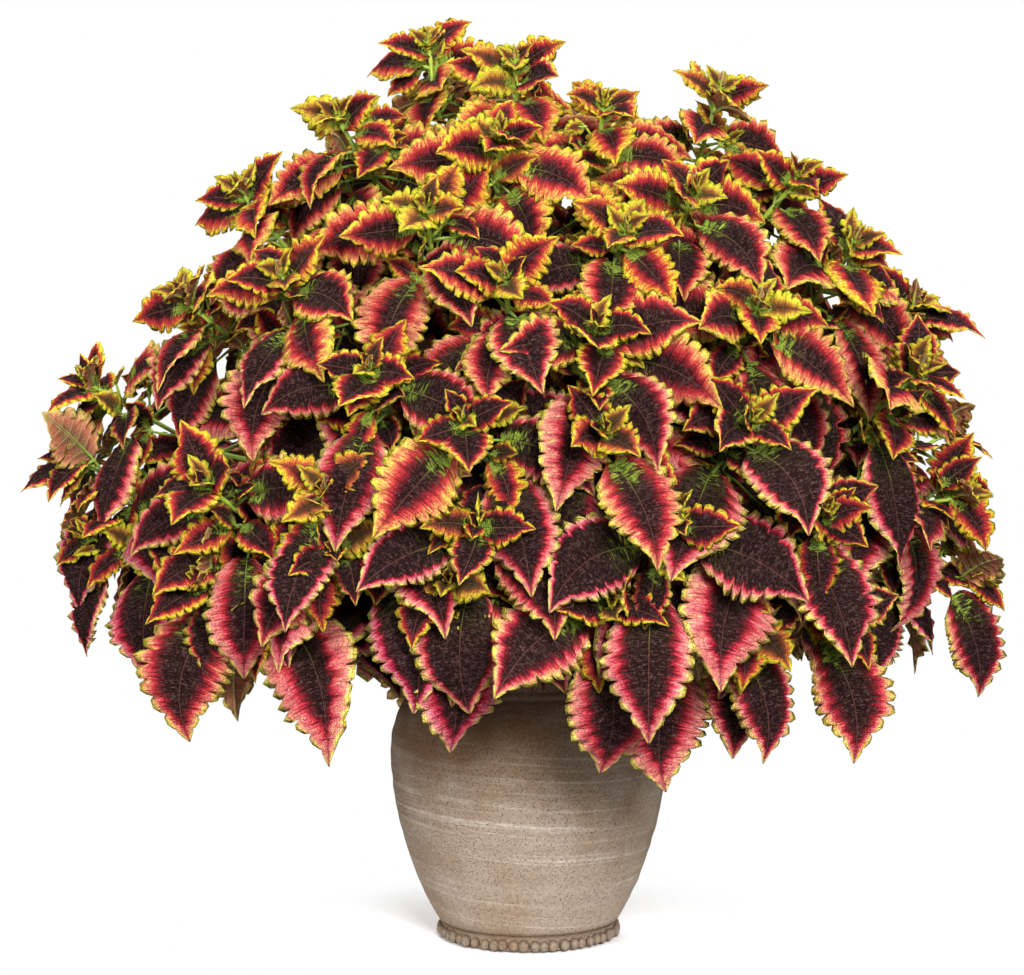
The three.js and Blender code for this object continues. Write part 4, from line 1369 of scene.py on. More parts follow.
class Shader:
    """A material while its nodes are put together."""

    def __init__(self, name: str, **surface: float) -> None:
        """Starts a material.

        Args:
            name: the material's name.
            surface: constants of its Principled shader, with _ for the spaces in their names.
        """
        self.material = bpy.data.materials.new(name)
        self.material.use_nodes = True
        self.tree = self.material.node_tree
        self.tree.nodes.clear()
        constants = {key.replace("_", " "): value for key, value in surface.items()}
        self.surface = self.node("ShaderNodeBsdfPrincipled", {}, constants)
        self.node("ShaderNodeOutputMaterial", {}, {"Surface": self.surface.outputs[0]})

    def node(self, kind: str, settings: dict[str, Any], inputs: dict[str | int, Any]) -> Any:
        """Adds a node.

        Args:
            kind: the node's type.
            settings: its properties, or stops for a ramp, set before its inputs.
            inputs: a value, socket or constant for each named or numbered socket.

        Returns:
            The node.
        """
        node = self.tree.nodes.new(kind)
        for key, setting in settings.items():
            if key == "stops":
                self.set_stops(node.color_ramp, setting)
            else:
                setattr(node, key, setting)
        for key, given in inputs.items():
            if isinstance(given, Value):
                given = given.socket
            if isinstance(given, bpy.types.NodeSocket):
                self.tree.links.new(given, node.inputs[key])
            else:
                node.inputs[key].default_value = given
        return node

    @staticmethod
    def set_stops(ramp: bpy.types.ColorRamp, stops: Stops) -> None:
        """Gives a ramp its stops."""
        while len(ramp.elements) < len(stops):
            ramp.elements.new(1.0)
        for element, (place, colour) in zip(ramp.elements, stops):
            element.position = place
            element.color = paint(*colour)

    def maths(self, operation: str, *values: Value | float) -> Value:
        """A Math node on numbers."""
        node = self.node("ShaderNodeMath", {"operation": operation}, dict(enumerate(values)))
        return Value(self, node.outputs[0])

    def ramp(self, factor: Value, stops: Stops) -> Value:
        """A colour from a ramp of display colours."""
        node = self.node("ShaderNodeValToRGB", {"stops": stops}, {"Fac": factor})
        return Value(self, node.outputs["Color"])

    def mix(self, factor: Value | float, low: Any, high: Any, blend: str = "MIX") -> Value:
        """A mix of two colours, each a Value or a display colour."""
        low, high = (c if isinstance(c, Value) else paint(*c) for c in (low, high))
        node = self.node(
            "ShaderNodeMix", {"data_type": "RGBA", "blend_type": blend},
            {0: factor, 6: low, 7: high})
        return Value(self, node.outputs[2])

    def attribute(self, name: str) -> tuple[Value, Value, Value, Value]:
        """The four numbers of an attribute of the mesh."""
        node = self.node("ShaderNodeAttribute", {"attribute_name": name}, {})
        first = Value(self, node.outputs["Vector"]).parts()
        return (*first, Value(self, node.outputs["Alpha"]))

    def place(self) -> Value:
        """Where on the object a point is, in metres."""
        return Value(self, self.node("ShaderNodeTexCoord", {}, {}).outputs["Object"])

    def vector(self, *parts: Value | float) -> Value:
        """A vector of three numbers."""
        node = self.node("ShaderNodeCombineXYZ", {}, dict(enumerate(parts)))
        return Value(self, node.outputs[0])

    def noise(self, at: Value, scale: float, detail: float = 3.0, roughness: float = 0.55) -> Value:
        """Noise from 0 to 1 at a place."""
        node = self.node(
            "ShaderNodeTexNoise", {},
            {"Vector": at, "Scale": scale, "Detail": detail, "Roughness": roughness})
        return Value(self, node.outputs[0])

    def cells(self, at: Value, scale: float, feature: str = "DISTANCE_TO_EDGE") -> Value:
        """Distance to the edges, or the middles, of scattered cells."""
        node = self.node("ShaderNodeTexVoronoi", {"feature": feature},
                         {"Vector": at, "Scale": scale})
        return Value(self, node.outputs["Distance"])

    def faded(self, colour: tuple[float, float, float, float], cover: Value
              ) -> bpy.types.Material:
        """Joins a plain colour that is whole where cover is 1 and gone where it is 0."""
        self.surface.inputs["Base Color"].default_value = colour
        self.tree.links.new(cover.socket, self.surface.inputs["Alpha"])
        return self.material

    def finish(self, colour: Value, roughness: Value | float, height: Value, depth: float
               ) -> bpy.types.Material:
        """Joins the colour, roughness and relief to the surface.

        Args:
            colour: its base colour.
            roughness: from 0 to 1.
            height: relief from 0 to 1.
            depth: metres that a height of 1 stands for.

        Returns:
            The finished material.
        """
        bump = self.node("ShaderNodeBump", {}, {"Height": height, "Distance": depth})
        for key, value in {"Base Color": colour, "Roughness": roughness,
                           "Normal": Value(self, bump.outputs[0])}.items():
            if isinstance(value, Value):
                self.tree.links.new(value.socket, self.surface.inputs[key])
            else:
                self.surface.inputs[key].default_value = value
        return self.material


@dataclass(frozen=True)
class LeafFace:
    """The upper face of a leaf: a dark heart, feathered bands and a yellow margin.

    Each ramp runs from the margin inwards. bud is for the leaves just unfolding, young for
    those round a tip, and pink and salmon for grown ones. Leaves deep inside the plant are mostly
    heart and darker, which is painted shade.
    """

    young: Stops = (
        (0.0, (192, 204, 52)), (0.07, (238, 222, 58)), (0.2, (236, 200, 58)),
        (0.26, (216, 124, 56)), (0.33, (190, 66, 54)), (0.48, (158, 38, 46)),
        (0.6, (94, 18, 28)), (0.72, (40, 13, 15)), (0.86, (27, 14, 13)),
    )
    pink: Stops = (
        (0.0, (222, 216, 86)), (0.1, (242, 220, 116)), (0.16, (224, 154, 132)),
        (0.25, (204, 100, 122)), (0.37, (184, 42, 66)), (0.46, (112, 16, 38)),
        (0.53, (44, 14, 18)), (0.64, (27, 14, 14)),
    )
    salmon: Stops = (
        (0.0, (212, 212, 56)), (0.12, (240, 214, 74)), (0.19, (228, 160, 92)),
        (0.3, (210, 102, 76)), (0.43, (182, 48, 50)), (0.53, (112, 20, 29)),
        (0.63, (44, 14, 17)), (0.75, (27, 14, 13)),
    )
    bud: Stops = (
        (0.0, (192, 210, 54)), (0.28, (220, 218, 60)), (0.43, (202, 164, 58)),
        (0.6, (150, 92, 48)), (0.85, (78, 70, 34)),
    )
    vein: Colour = (98, 58, 52)
    down: Colour = (124, 90, 88)
    green: Colour = (140, 166, 58)
    # Painted shade for the hearts of leaves deep inside the plant.
    shaded: Colour = (38, 44, 24)

    def material(self) -> bpy.types.Material:
        """Builds the finish: bands by the distance from the margin, feathered along the veins."""
        s = Shader("leaf_face", Specular_IOR_Level=0.04)
        along, _, edge, lobe = s.attribute("place")
        age, hue, chance, inward = s.attribute("look")
        run, aside, middle, _ = s.attribute("grain")
        spot = s.place()
        streak = s.noise(s.vector(run * 9.0, aside * 2.6, chance * 9.0), 1.0, 4.0, 0.75)
        hairs = s.noise(s.vector(run * 24.0, aside * 5.0, chance * 7.0), 1.0, 2.0, 0.6)
        blotch = s.noise(spot, 55.0, 2.0)
        fine = s.noise(spot, 900.0, 2.0)
        fuzz = s.noise(spot, 380.0, 3.0, 0.7)

        # How deep in the bands a point lies: drawn out along the streaks and towards the veins.
        vein = lobe.step(0.55, 1.0)
        # The dark heart is larger by chance, and on the pinker leaves low on the plant, partly as
        # painted shade.
        heart = ((chance - 0.5) * 0.5 + (0.46 - hue) * 0.36).maths("MAXIMUM", -0.14)
        feather = edge.step(0.05, 0.3) * 0.56 + 0.12
        depth = edge + (streak - 0.5) * feather + (blotch - 0.5) * 0.14 + vein * 0.04
        depth = depth + (1 - lobe.step(0.2, 0.9)) * (1 - edge.step(0.05, 0.35)) * 0.11
        # Leaves deep inside the plant get a larger dark heart: painted shade.
        depth = depth + (heart + inward * 0.25) * edge.step(0.15, 0.45)

        # The bands, by age and hue.
        grown = s.mix(hue + (blotch - 0.5) * 0.4, s.ramp(depth, self.pink),
                      s.ramp(depth, self.salmon))
        colour = s.mix((age + (blotch - 0.5) * 0.2).step(0.15, 0.68),
                       s.ramp(depth, self.young), grown)
        unfolding = (1 - age.step(0.0, 0.15)) * 0.8
        colour = s.mix(unfolding, colour, s.ramp(depth, self.bud))

        # Green patches near a younger leaf's base.
        near_base = (1 - along.step(0.0, 0.42)) * (1 - age * 0.8) * edge.step(0.35, 0.75)
        dapple = s.noise(s.vector(run * 7.0, aside * 3.6, chance * 5.0), 1.0, 3.0)
        patches = (dapple + near_base * 0.48 + blotch * 0.3).step(0.8, 0.92)
        colour = s.mix(patches * near_base.step(0.0, 0.35) * 0.9, colour, self.green)

        # Veins: the rib, the side veins and the net between them.
        net = 1 - s.cells(s.vector(run * 1.0, aside * 3.2, chance), 3.0).step(0.0, 0.09)
        side_vein = lobe.step(0.93, 1.0) * edge.step(0.05, 0.4)
        rib = 1 - middle.step(0.35, 0.9)
        lines = (rib * 0.75).maths("MAXIMUM", side_vein * 0.3).maths("MAXIMUM", net * 0.2)
        veins = s.mix(along.step(0.0, 0.45), self.green, self.vein)
        colour = s.mix(lines * (0.5 + 0.5 * fine), colour, veins)

        # The dark heart, turned dark olive deep inside the plant as painted shade, and greyed by
        # fine hairs elsewhere.
        dark = depth.step(0.42, 0.6)
        colour = s.mix(dark * inward * 0.7, colour, self.shaded)
        down = (fuzz + hairs).step(0.98, 1.26)
        colour = s.mix(down * dark * (1 - unfolding) * 0.55, colour, self.down)

        # Brightness varied by the streaks and the hairs, a little lower on the more orange leaves,
        # and painted shade on leaves deep inside the plant; then the relief.
        shade = 1.24 - hue * 0.13 - inward * 0.35 - (fuzz - 0.5) * 0.8
        shade = shade - (1 - streak) * edge.step(0.1, 0.3) * 0.2 - (hairs - 0.5) * 0.9
        colour = s.mix(1.0, colour, s.vector(shade, shade, shade), "MULTIPLY")
        height = 1 - (rib * 0.9).maths("MAXIMUM", side_vein * 0.8).maths("MAXIMUM", net * 0.5)
        height = height + fine * 0.3 + streak * 0.5 + hairs * 0.5 + fuzz * 0.5
        return s.finish(colour, 0.6 + 0.18 * fine, height, 0.0018)


@dataclass(frozen=True)
class LeafBack:
    """The underside of a leaf: tan and salmon, greener by the veins, which stand out."""

    bands: Stops = (
        (0.0, (230, 212, 96)), (0.12, (226, 180, 112)), (0.32, (206, 128, 98)),
        (0.58, (170, 90, 74)), (0.85, (122, 84, 58)),
    )
    vein: Colour = (186, 178, 108)

    def material(self) -> bpy.types.Material:
        """Builds the finish: bands from the margin in, with paler raised veins."""
        s = Shader("leaf_back", Specular_IOR_Level=0.25)
        _, _, edge, lobe = s.attribute("place")
        _, _, chance, inward = s.attribute("look")
        run, aside, middle, _ = s.attribute("grain")
        spot = s.place()
        blotch = s.noise(spot, 60.0, 3.0)
        fine = s.noise(spot, 900.0, 2.0)
        streak = s.noise(s.vector(run * 9.0, aside * 2.6, chance * 9.0), 1.0, 3.0, 0.7)
        colour = s.ramp(edge + (blotch - 0.5) * 0.5 + (streak - 0.5) * 0.5, self.bands)
        net = 1 - s.cells(s.vector(run * 1.0, aside * 3.2, chance), 3.0).step(0.0, 0.12)
        side_vein = lobe.step(0.88, 1.0) * edge.step(0.02, 0.2)
        rib = 1 - middle.step(0.8, 1.8)
        lines = rib.maths("MAXIMUM", side_vein * 0.7).maths("MAXIMUM", net * 0.35)
        colour = s.mix(lines, colour, self.vein)
        # Painted shade on leaves deep inside the plant, with fine changes of tone.
        shade = 1 - inward * 0.35 - (fine - 0.5) * 0.2
        colour = s.mix(1.0, colour, s.vector(shade, shade, shade), "MULTIPLY")
        return s.finish(colour, 0.62, lines + fine * 0.2, 0.0008)


@dataclass(frozen=True)
class StemSkin:
    """Stems, petioles and ribs: green, flushed with red along a blade and brown low down."""

    green: Colour = (134, 166, 58)
    young: Colour = (178, 198, 58)
    flush: Colour = (110, 46, 48)
    wood: Colour = (96, 78, 54)

    def material(self) -> bpy.types.Material:
        """Builds the finish."""
        s = Shader("stem_skin", Sheen_Weight=0.1, Specular_IOR_Level=0.35)
        along, woody, _, _ = s.attribute("place")
        age, _, chance, inward = s.attribute("look")
        spot = s.place()
        blotch = s.noise(spot, 70.0, 3.0)
        x, y, z = spot.parts()
        fibre = s.noise(s.vector(x, y, z * 0.12), 900.0, 3.0)
        colour = s.mix(age.step(0.0, 0.5), self.young, self.green)
        colour = s.mix((along * 0.8 + blotch * 0.5 - 0.2).step(0.15, 0.6), colour, self.flush)
        colour = s.mix((woody + (blotch - 0.5) * 0.6).step(0.25, 0.75), colour, self.wood)
        # Painted shade on the ribs of leaves deep inside the plant, with streaks along the fibres.
        shade = 1 - inward * 0.3 - (fibre - 0.5) * 0.4
        colour = s.mix(1.0, colour, s.vector(shade, shade, shade), "MULTIPLY")
        return s.finish(colour, 0.5 + 0.2 * chance, fibre, 0.0006)


@dataclass(frozen=True)
class Clay:
    """Fired clay: greige, with fine pale throwing lines, smoky patches and dark pores."""

    light: Colour = (153, 137, 121)
    warm: Colour = (133, 111, 89)
    smoke_and_foot_brown: Colour = (112, 80, 54)
    slip: Colour = (206, 196, 182)
    dark_clay: Colour = (66, 47, 32)

    def material(self) -> bpy.types.Material:
        """Builds the finish. The place attribute holds the hollows and the height."""
        s = Shader("clay", Specular_IOR_Level=0.18)
        hollow, _, high, _ = s.attribute("place")
        spot = s.place()
        x, y, z = spot.parts()
        drift = s.noise(spot, 4.0, 2.0)
        wander = s.noise(spot, 14.0, 4.0, 0.6)
        grain = s.noise(spot, 260.0, 4.0, 0.7)
        fine = s.noise(spot, 1100.0, 2.0, 0.6)
        tilted = z + x * 0.05 + (drift - 0.5) * 0.016
        bands = s.noise(s.vector(x * 1.5, y * 1.5, tilted * 38.0), 1.0, 3.0, 0.6)
        lines = s.noise(s.vector(x * 2.0, y * 2.0, tilted * 130.0), 1.0, 2.0)
        hair = s.noise(s.vector(x * 5.0, y * 5.0, tilted * 330.0), 1.0, 2.0)

        # The clay, crossed by throwing lines of pale slip.
        colour = s.mix((wander * 0.8 + bands * 0.5 - high * 0.1).step(0.4, 0.74),
                       self.warm, self.light)
        line = lines.step(0.58, 0.66) * wander.step(0.34, 0.6) * (1 - high.step(0.64, 0.84))
        colour = s.mix(line * 0.42 + hair.step(0.56, 0.72) * 0.22, colour, self.slip)

        # Smoke in patches and browner clay towards the foot, then pores, specks and darker clay
        # in the grooves and round the beads.
        patch = s.noise(s.vector(x, y, z * 1.3), 8.0, 3.0, 0.6)
        smoky = (patch * 1.3 + high * 0.9 + (bands - 0.5) * 0.14).step(1.14, 1.56)
        colour = s.mix(smoky * 0.85, colour, self.smoke_and_foot_brown)
        colour = s.mix((1 - high.step(0.04, 0.1)) * 0.4, colour, self.smoke_and_foot_brown)
        pores = 1 - s.cells(spot, 420.0, "F1").step(0.12, 0.36)
        specks = pores * grain.step(0.4, 0.54)
        colour = s.mix(specks * 0.6 + grain.step(0.56, 0.7) * 0.22, colour, self.dark_clay)
        colour = s.mix(hollow * (0.55 + 0.45 * wander), colour, self.dark_clay)

        # Tone varied by the grain, and a little darker towards the foot.
        shade = 1.03 + (grain - 0.5) * 1.2 + (fine - 0.5) * 0.9
        shade = shade - (1 - high.step(0.03, 0.13)) * 0.08
        colour = s.mix(1.0, colour, s.vector(shade, shade, shade), "MULTIPLY")
        height = grain * 0.5 + fine * 0.3 + bands * 0.5 + line * 0.2 - specks * 0.8
        return s.finish(colour, 0.86 + 0.1 * grain, height, 0.0009)


@dataclass(frozen=True)
class Earth:
    """Potting soil: dark brown crumbs with paler flecks of bark."""

    crumbs: Stops = ((0.2, (24, 17, 12)), (0.5, (52, 38, 27)), (0.75, (84, 63, 45)))
    bark: Colour = (132, 104, 76)

    def material(self) -> bpy.types.Material:
        """Builds the finish."""
        s = Shader("earth", Specular_IOR_Level=0.2)
        spot = s.place()
        crumbs = s.cells(spot, 220.0, "F1")
        grain = s.noise(spot, 400.0, 4.0, 0.7)
        colour = s.ramp(grain * 0.7 + crumbs * 0.3, self.crumbs)
        flecks = s.noise(spot, 150.0, 2.0).step(0.66, 0.7)
        colour = s.mix(flecks, colour, self.bark)
        return s.finish(colour, 0.95, grain - crumbs, 0.002)


# ---- Pot and soil ----


def turned_points(radius: np.ndarray, height: np.ndarray, angle: np.ndarray) -> np.ndarray:
    """Points of a closed turned surface between its two poles.

    Args:
        radius: (rows, columns), mm.
        height: (rows, columns), mm.
        angle: (columns,), radians.

    Returns:
        The first pole, the rows and the last pole, (n, 3).
    """
    walls = np.stack([radius * np.cos(angle), radius * np.sin(angle), height], -1)
    low = np.array([[0.0, 0.0, float(height[0].mean())]])
    high = np.array([[0.0, 0.0, float(height[-1].mean())]])
    return np.concatenate([low, walls.reshape(-1, 3), high])


def smooth_profile(corners: Profile, step: float) -> np.ndarray:
    """A profile drawn at even steps with its corners rounded by averaging neighbours."""
    points = np.array(corners, float)
    lengths = np.linalg.norm(np.diff(points, axis=0), axis=1)
    reach = np.concatenate([[0.0], np.cumsum(lengths)])
    at = np.linspace(0, reach[-1], int(reach[-1] / step) + 1)
    drawn = np.stack([np.interp(at, reach, points[:, k]) for k in range(2)], -1)
    drawn[1:-1] = (drawn[:-2] + 2 * drawn[1:-1] + drawn[2:]) / 4
    return drawn


@dataclass(frozen=True)
class Beads:
    """The beads round the foot: uneven pressed balls sunk in it. Lengths are in mm."""

    count: int = 54
    turn_spread: float = 0.36  # for the way from one to the next
    ring: float = 79.6  # radius of the ring that their middles stand on
    ring_spread: float = 0.8
    height: float = 5.7
    height_spread: float = 1.0
    radius: float = 4.8
    radius_spread: float = 0.22  # as a share
    pressed: tuple[float, float, float] = (0.92, 1.0, 1.08)  # outwards, sideways and upwards
    lowest: float = 0.05
    rows: int = 8
    columns: int = 12

    def ball(self) -> np.ndarray:
        """A ball of radius 1, as a turned half circle."""
        lift = np.linspace(-np.pi / 2, np.pi / 2, self.rows + 2)[1:-1, None]
        angle = np.linspace(0, 2 * np.pi, self.columns, endpoint=False)
        even = np.ones(self.columns)
        ball = turned_points(np.cos(lift) * even, np.sin(lift) * even, angle)
        ball[0], ball[-1] = (0, 0, -1), (0, 0, 1)
        return ball

    def add(self, skin: Skin) -> None:
        """Adds the beads."""
        number = np.arange(self.count)
        turn = (number + vary(number, self.turn_spread)) / self.count * 2 * np.pi
        size = self.radius * (1 + vary(number + 0.3, self.radius_spread))
        height = self.height + vary(number + 0.6, self.height_spread)
        out = self.ring + vary(number + 0.8, self.ring_spread)
        scaled = self.ball()[None] * size[:, None, None] * np.array(self.pressed)
        scaled[..., 2] = np.maximum(scaled[..., 2], self.lowest - height[:, None])
        cos, sin = np.cos(turn)[:, None], np.sin(turn)[:, None]
        x = scaled[..., 0] + out[:, None]
        points = np.stack([x * cos - scaled[..., 1] * sin, x * sin + scaled[..., 1] * cos,
                           scaled[..., 2] + height[:, None]], -1)
        place = np.zeros((points[..., 0].size, 4))
        proud = (scaled[..., 0] / size[:, None]).ravel()
        # How much darker clay a bead is drawn with: some all over, most round its sides.
        place[:, 0] = 0.4 + 0.6 * (1 - smooth_step(0.1, 0.85, proud))
        place[:, 2] = 0.1
        faces = repeat_faces(tube_faces(self.rows, self.columns), self.count, points.shape[1])
        skin.add(points.reshape(-1, 3), faces, Finish.FACE, place)


@dataclass
class Pot:
    """The thrown clay pot, its foot ring and its beads. Lengths are in mm."""

    beads: Beads = field(default_factory=Beads)
    foot: Profile = (
        (70, 0), (77.8, 0), (78.8, 1.2), (78.8, 11.6), (80.2, 12.4), (80.2, 13.6), (78.8, 14.4),
        (79.2, 15.2), (82.2, 16.4),
    )
    # The belly: half widths at heights, joined by a smooth curve.
    belly: Profile = (
        (82.2, 16.4), (88.2, 27), (98.2, 48), (108.5, 76), (117, 106), (122.6, 137), (124.6, 166),
        (122.6, 190), (116, 209), (107.5, 222), (101.4, 228.5),
    )
    lip: Profile = (
        (101.4, 228.5), (101.6, 230.6), (104.6, 231.8), (106, 233.2), (106.2, 235.6),
        (104.8, 237.4), (103.8, 238.4), (105.2, 240.4), (106, 243), (106, 247.4), (104.4, 249.6),
        (101, 250), (98.8, 248.6), (98, 246), (92.5, 231),
    )
    inside: Profile = (
        (92.5, 231), (104, 208), (112, 190), (114, 168), (111, 130), (102, 85), (90, 48),
        (74, 22), (60, 16.2), (12, 16),
    )
    columns: int = 112
    belly_rows: int = 84
    belly_degree: int = 7
    ring: float = 0.5  # depth of the throwing rings
    # The throwing rings' waves: length over 2 pi, strength and phase.
    waves: tuple[tuple[float, float, float], ...] = ((2.6, 1.0, 0), (4.1, 0.8, 1), (9.3, 1.0, 2))
    wave_peak: float = 2.2  # what the waves come to together
    out_of_round: float = 0.45
    # The grooves that are drawn in darker clay: height, half width and strength.
    grooves: tuple[tuple[float, float, float], ...] = (
        (14.2, 1.3, 1.0), (229.6, 2.0, 0.8), (238.4, 1.4, 0.6),
    )
    height: float = 250.0

    def belly_curve(self) -> np.ndarray:
        """The belly at even heights, by a polynomial near its points."""
        radius, height = np.array(self.belly).T
        middle = height.mean()
        fit = np.polynomial.Polynomial.fit(height - middle, radius, self.belly_degree)
        at = np.linspace(height[0], height[-1], self.belly_rows)
        drawn = fit(at - middle)
        drawn[0], drawn[-1] = radius[0], radius[-1]
        return np.stack([drawn, at], -1)

    def profile(self) -> tuple[np.ndarray, np.ndarray]:
        """The whole profile, from under the foot over the lip to the floor.

        Returns:
            Radius and height in rows, and for each row whether it is on the outside, 0 or 1.
        """
        foot = smooth_profile(self.foot, 1.4)
        belly = self.belly_curve()[1:]
        lip = smooth_profile(self.lip, 1.2)[1:]
        inside = smooth_profile(self.inside, 14.0)[1:]
        shown = [np.ones(len(foot) + len(belly) + len(lip)), np.zeros(len(inside))]
        return np.concatenate([foot, belly, lip, inside]), np.concatenate(shown)

    def add_body(self, skin: Skin) -> None:
        """Adds the thrown body.

        The profile is carried round the axis. The throwing rings are a sum of three sines of the
        height, slightly tilted, whose strength drifts round the pot, on the belly alone.
        """
        profile, outside = self.profile()
        angle = np.linspace(0, 2 * np.pi, self.columns, endpoint=False)
        radius = np.repeat(profile[:, :1], self.columns, 1)
        height = np.repeat(profile[:, 1:], self.columns, 1)
        on_belly = smooth_step(17, 34, height) * (1 - smooth_step(206, 222, height))
        on_belly = on_belly * outside[:, None]
        tilted = height + 3.0 * np.cos(angle - 0.6) + 1.2 * np.sin(2 * angle)
        strength = 0.6 + 0.4 * np.sin(angle + 1.1) * np.sin(height / 37.0)
        rings = sum(high * np.sin(tilted / length + phase) for length, high, phase in self.waves)
        radius = radius + self.ring * on_belly * rings * strength / self.wave_peak
        radius = radius + self.out_of_round * np.sin(2 * angle + 0.4) * on_belly
        groove = sum(
            deep * np.exp(-(((height - level) / half) ** 2)) for level, half, deep in self.grooves
        )
        place = np.zeros((radius.size + 2, 4))
        place[1:-1, 0] = np.clip(groove * outside[:, None], 0, 1).ravel()
        place[1:-1, 2] = (height / self.height).ravel()
        points = turned_points(radius, height, angle)
        skin.add(points, tube_faces(len(profile), self.columns), Finish.FACE, place)

    def build(self, clay: bpy.types.Material) -> None:
        """Makes the pot."""
        skin = Skin()
        self.add_body(skin)
        self.beads.add(skin)
        skin.piece("clay_pot", [clay], "clay", "pot")


@dataclass
class Soil:
    """The potting soil, domed in the pot's neck. Lengths are in mm."""

    rings: int = 28
    columns: int = 72
    wall: Profile = (
        (8, 17.2), (66, 17.2), (100, 85), (111.5, 168), (100, 208), (90, 229.6),
    )
    rim_height: float = 230.5
    dome: float = 4.6
    crumb: float = 1.3

    def build(self, earth: bpy.types.Material) -> None:
        """Makes the soil: a turned wall, and a dome roughened by crossed sines."""
        wall = smooth_profile(self.wall, 10.0)
        share = np.linspace(1, 0.02, self.rings)
        reach = wall[-1, 0] * share
        top = np.stack([reach, self.rim_height + self.dome * (1 - share**2)], -1)
        profile = np.concatenate([wall, top])
        angle = np.linspace(0, 2 * np.pi, self.columns, endpoint=False)
        radius = np.repeat(profile[:, :1], self.columns, 1)
        height = np.repeat(profile[:, 1:], self.columns, 1)
        x, y = radius * np.cos(angle), radius * np.sin(angle)
        rough = np.sin(x / 2.3 + 1.7 * np.sin(y / 3.1)) * np.sin(y / 2.7 + 1.3 * np.sin(x / 3.7))
        on_top = (np.arange(len(profile)) > len(wall))[:, None]
        height = height + self.crumb * rough * on_top
        skin = Skin()
        points = turned_points(radius, height, angle)
        skin.add(points, tube_faces(len(profile), self.columns), Finish.FACE)
        skin.piece("potting_soil", [earth], "soil", "soil")


# ---- The plant ----


@dataclass
class Plant:
    """All the leafy stems."""

    stems: list[LeafyStem] = field(default_factory=list)
    room: Room = field(default_factory=Room)
    thickening: Thickening = field(default_factory=Thickening)
    axils: dict[str, list[Shoot]] = field(default_factory=dict)

    def grow(self) -> None:
        """Follows the plain solids, then fills the plant out."""
        for index, name in enumerate(LEAFY_STEMS):
            stem = LeafyStem.planned(name, index + 1)
            stem.follow(PlainSolid.of(name))
            self.stems.append(stem)
            for leaf in stem.leaves:
                self.room.take(leaf)
        count = sum(len(stem.leaves) for stem in self.stems)
        log.info("leaves on the plain solids: %d", count)
        for stem in self.stems:
            for shoot in stem.shoots:
                stem.leaves += self.thickening.rosette(shoot)
                stem.leaves += self.thickening.between(shoot, self.room)
        for stem in self.stems:
            for shoot in stem.shoots:
                stem.leaves += self.thickening.older(shoot, self.room)
        for stem in self.stems:
            self.axils[stem.name] = []
            for shoot in stem.shoots:
                for axil in self.thickening.axil_shoots(shoot):
                    leaves = self.thickening.axil_leaves(axil, self.room)
                    if leaves:
                        self.axils[stem.name].append(axil)
                        stem.leaves += leaves
        log.info("leaves in all: %d", sum(len(stem.leaves) for stem in self.stems))

    def build(self, finishes: Sequence[bpy.types.Material]) -> None:
        """Makes one piece for each leafy stem."""
        for stem in self.stems:
            skin = Skin()
            for order, shoot in enumerate(stem.shoots):
                STEM.add(skin, shoot, order == 0)
            for shoot in self.axils[stem.name]:
                STEM.add(skin, shoot, False)
            leaves = join_leaves(stem.leaves)
            sizes = BladeSize.of(leaves.blade, leaves.look[:, 3])
            counts = np.bincount(sizes, minlength=len(BladeSize)).tolist()
            log.info("%s: leaves by size %s", stem.name, counts)
            for index, size in enumerate(BladeSize):
                chosen = leaves.take(sizes == index)
                if len(chosen):
                    maker = LeafMaker(chosen, size.value)
                    maker.blades(skin)
                    maker.ribs(skin)
            skin.piece(stem.name.replace("leafy_stem", "coleus"), finishes, "foliage", stem.name)


# ---- Studio ----


@dataclass(frozen=True)
class SoftLight:
    """A large soft light: its place and size in metres, its power in watts and its colour."""

    name: str
    place: tuple[float, float, float]
    size: float
    power: float
    colour: Colour = (1.0, 1.0, 1.0)


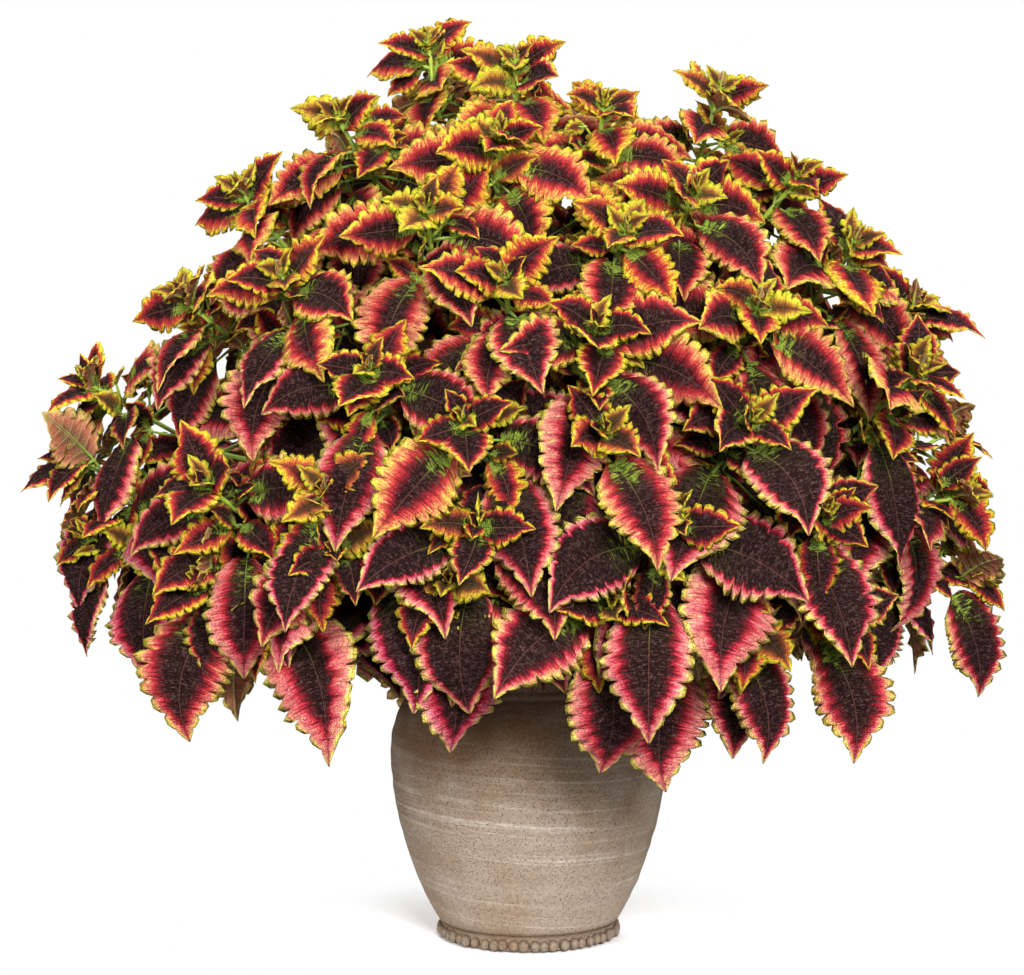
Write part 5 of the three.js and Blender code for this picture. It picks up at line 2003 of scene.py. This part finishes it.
@dataclass
class Studio:
    """The camera, the lights, the white surroundings and the pale floor. Lengths in metres."""

    eye: tuple[float, float, float] = (0.0, -3.3, 0.79)
    target: tuple[float, float, float] = (0.0, 0.0, 0.4)
    lens: float = 129.8
    shift: tuple[float, float] = (-0.0161, 0.0091)
    lights: tuple[SoftLight, ...] = (
        SoftLight("key_light", (0.7, -3.3, 1.9), 1.2, 172.0),
        SoftLight("fill_light", (-2.4, -2.3, 1.3), 1.6, 84.0),
        SoftLight("side_light", (2.7, -1.7, 1.3), 1.6, 38.0),
        SoftLight("top_light", (0.2, 0.6, 2.8), 1.6, 62.0),
        SoftLight("back_light", (-0.4, 3.0, 1.5), 2.0, 75.0),
    )
    ambient: float = 0.25
    floor_radius: float = 3.0
    floor_height: float = -0.0006
    floor_fade: tuple[float, float] = (0.26 * 0.35, 0.26)  # from the pot's middle
    floor_colour: Colour = (253, 253, 253)

    @staticmethod
    def aim(item: bpy.types.Object, place: Sequence[float], target: Sequence[float]) -> None:
        """Puts a camera or a light at a place and points it at a target."""
        item.location = place
        away = Vector(place) - Vector(target)
        item.rotation_euler = away.to_track_quat("Z", "Y").to_euler()
        bpy.context.scene.collection.objects.link(item)

    def add_camera(self) -> None:
        """Makes the camera that looks at the front."""
        camera = bpy.data.cameras.new("camera")
        camera.lens = self.lens
        camera.shift_x, camera.shift_y = self.shift
        item = bpy.data.objects.new("camera", camera)
        self.aim(item, self.eye, self.target)
        bpy.context.scene.camera = item

    def add_lights(self) -> None:
        """Makes the soft lights."""
        for light in self.lights:
            lamp = bpy.data.lights.new(light.name, "AREA")
            lamp.shape = "DISK"
            lamp.size = light.size
            lamp.energy = light.power
            lamp.color = light.colour
            self.aim(bpy.data.objects.new(light.name, lamp), light.place, self.target)

    def add_surroundings(self) -> None:
        """White behind the object, and a dimmer even light from all round on it."""
        world = bpy.data.worlds.new("surroundings")
        world.use_nodes = True
        tree = world.node_tree
        tree.nodes.clear()
        path = tree.nodes.new("ShaderNodeLightPath")
        white, dim = (tree.nodes.new("ShaderNodeBackground") for _ in range(2))
        dim.inputs["Strength"].default_value = self.ambient
        for shade in (white, dim):
            shade.inputs["Color"].default_value = (1.0, 1.0, 1.0, 1.0)
        mix = tree.nodes.new("ShaderNodeMixShader")
        out = tree.nodes.new("ShaderNodeOutputWorld")
        tree.links.new(path.outputs["Is Camera Ray"], mix.inputs[0])
        tree.links.new(dim.outputs[0], mix.inputs[1])
        tree.links.new(white.outputs[0], mix.inputs[2])
        tree.links.new(mix.outputs[0], out.inputs["Surface"])
        bpy.context.scene.world = world

    def add_floor(self) -> None:
        """A pale floor disc that fades into the white surroundings."""
        rings, columns = 24, 96
        reach = self.floor_radius * np.linspace(0, 1, rings + 1)[1:] ** 1.5
        angle = np.linspace(0, 2 * np.pi, columns, endpoint=False)
        x, y = reach[:, None] * np.cos(angle), reach[:, None] * np.sin(angle)
        points = np.stack([x, y, np.full_like(x, self.floor_height)], -1).reshape(-1, 3)
        points = np.concatenate([[[0.0, 0.0, self.floor_height]], points])
        faces = tube_faces(rings, columns)[:-columns].tolist()
        mesh = bpy.data.meshes.new("floor")
        mesh.from_pydata(points.tolist(), [], [[c for c in f if c >= 0][::-1] for f in faces])
        shader = Shader("floor", Roughness=0.9, Specular_IOR_Level=0.1)
        x, y, _ = shader.place().parts()
        distance = (x * x + y * y) ** 0.5
        cover = 1 - distance.step(*self.floor_fade)
        mesh.materials.append(shader.faded(paint(*self.floor_colour), cover))
        item = bpy.data.objects.new("floor", mesh)
        bpy.context.scene.collection.objects.link(item)

    def build(self) -> None:
        """Makes the studio."""
        bpy.context.scene.view_settings.view_transform = "Standard"
        self.add_camera()
        self.add_lights()
        self.add_surroundings()
        self.add_floor()


def main() -> None:
    """Builds the studio, the pot, the soil and the plant."""
    logging.basicConfig(level=logging.INFO, format="%(message)s")
    Studio().build()
    Pot().build(Clay().material())
    Soil().build(Earth().material())
    plant = Plant()
    plant.grow()
    plant.build([LeafFace().material(), LeafBack().material(), StemSkin().material()])


if __name__ == "__main__":
    main()
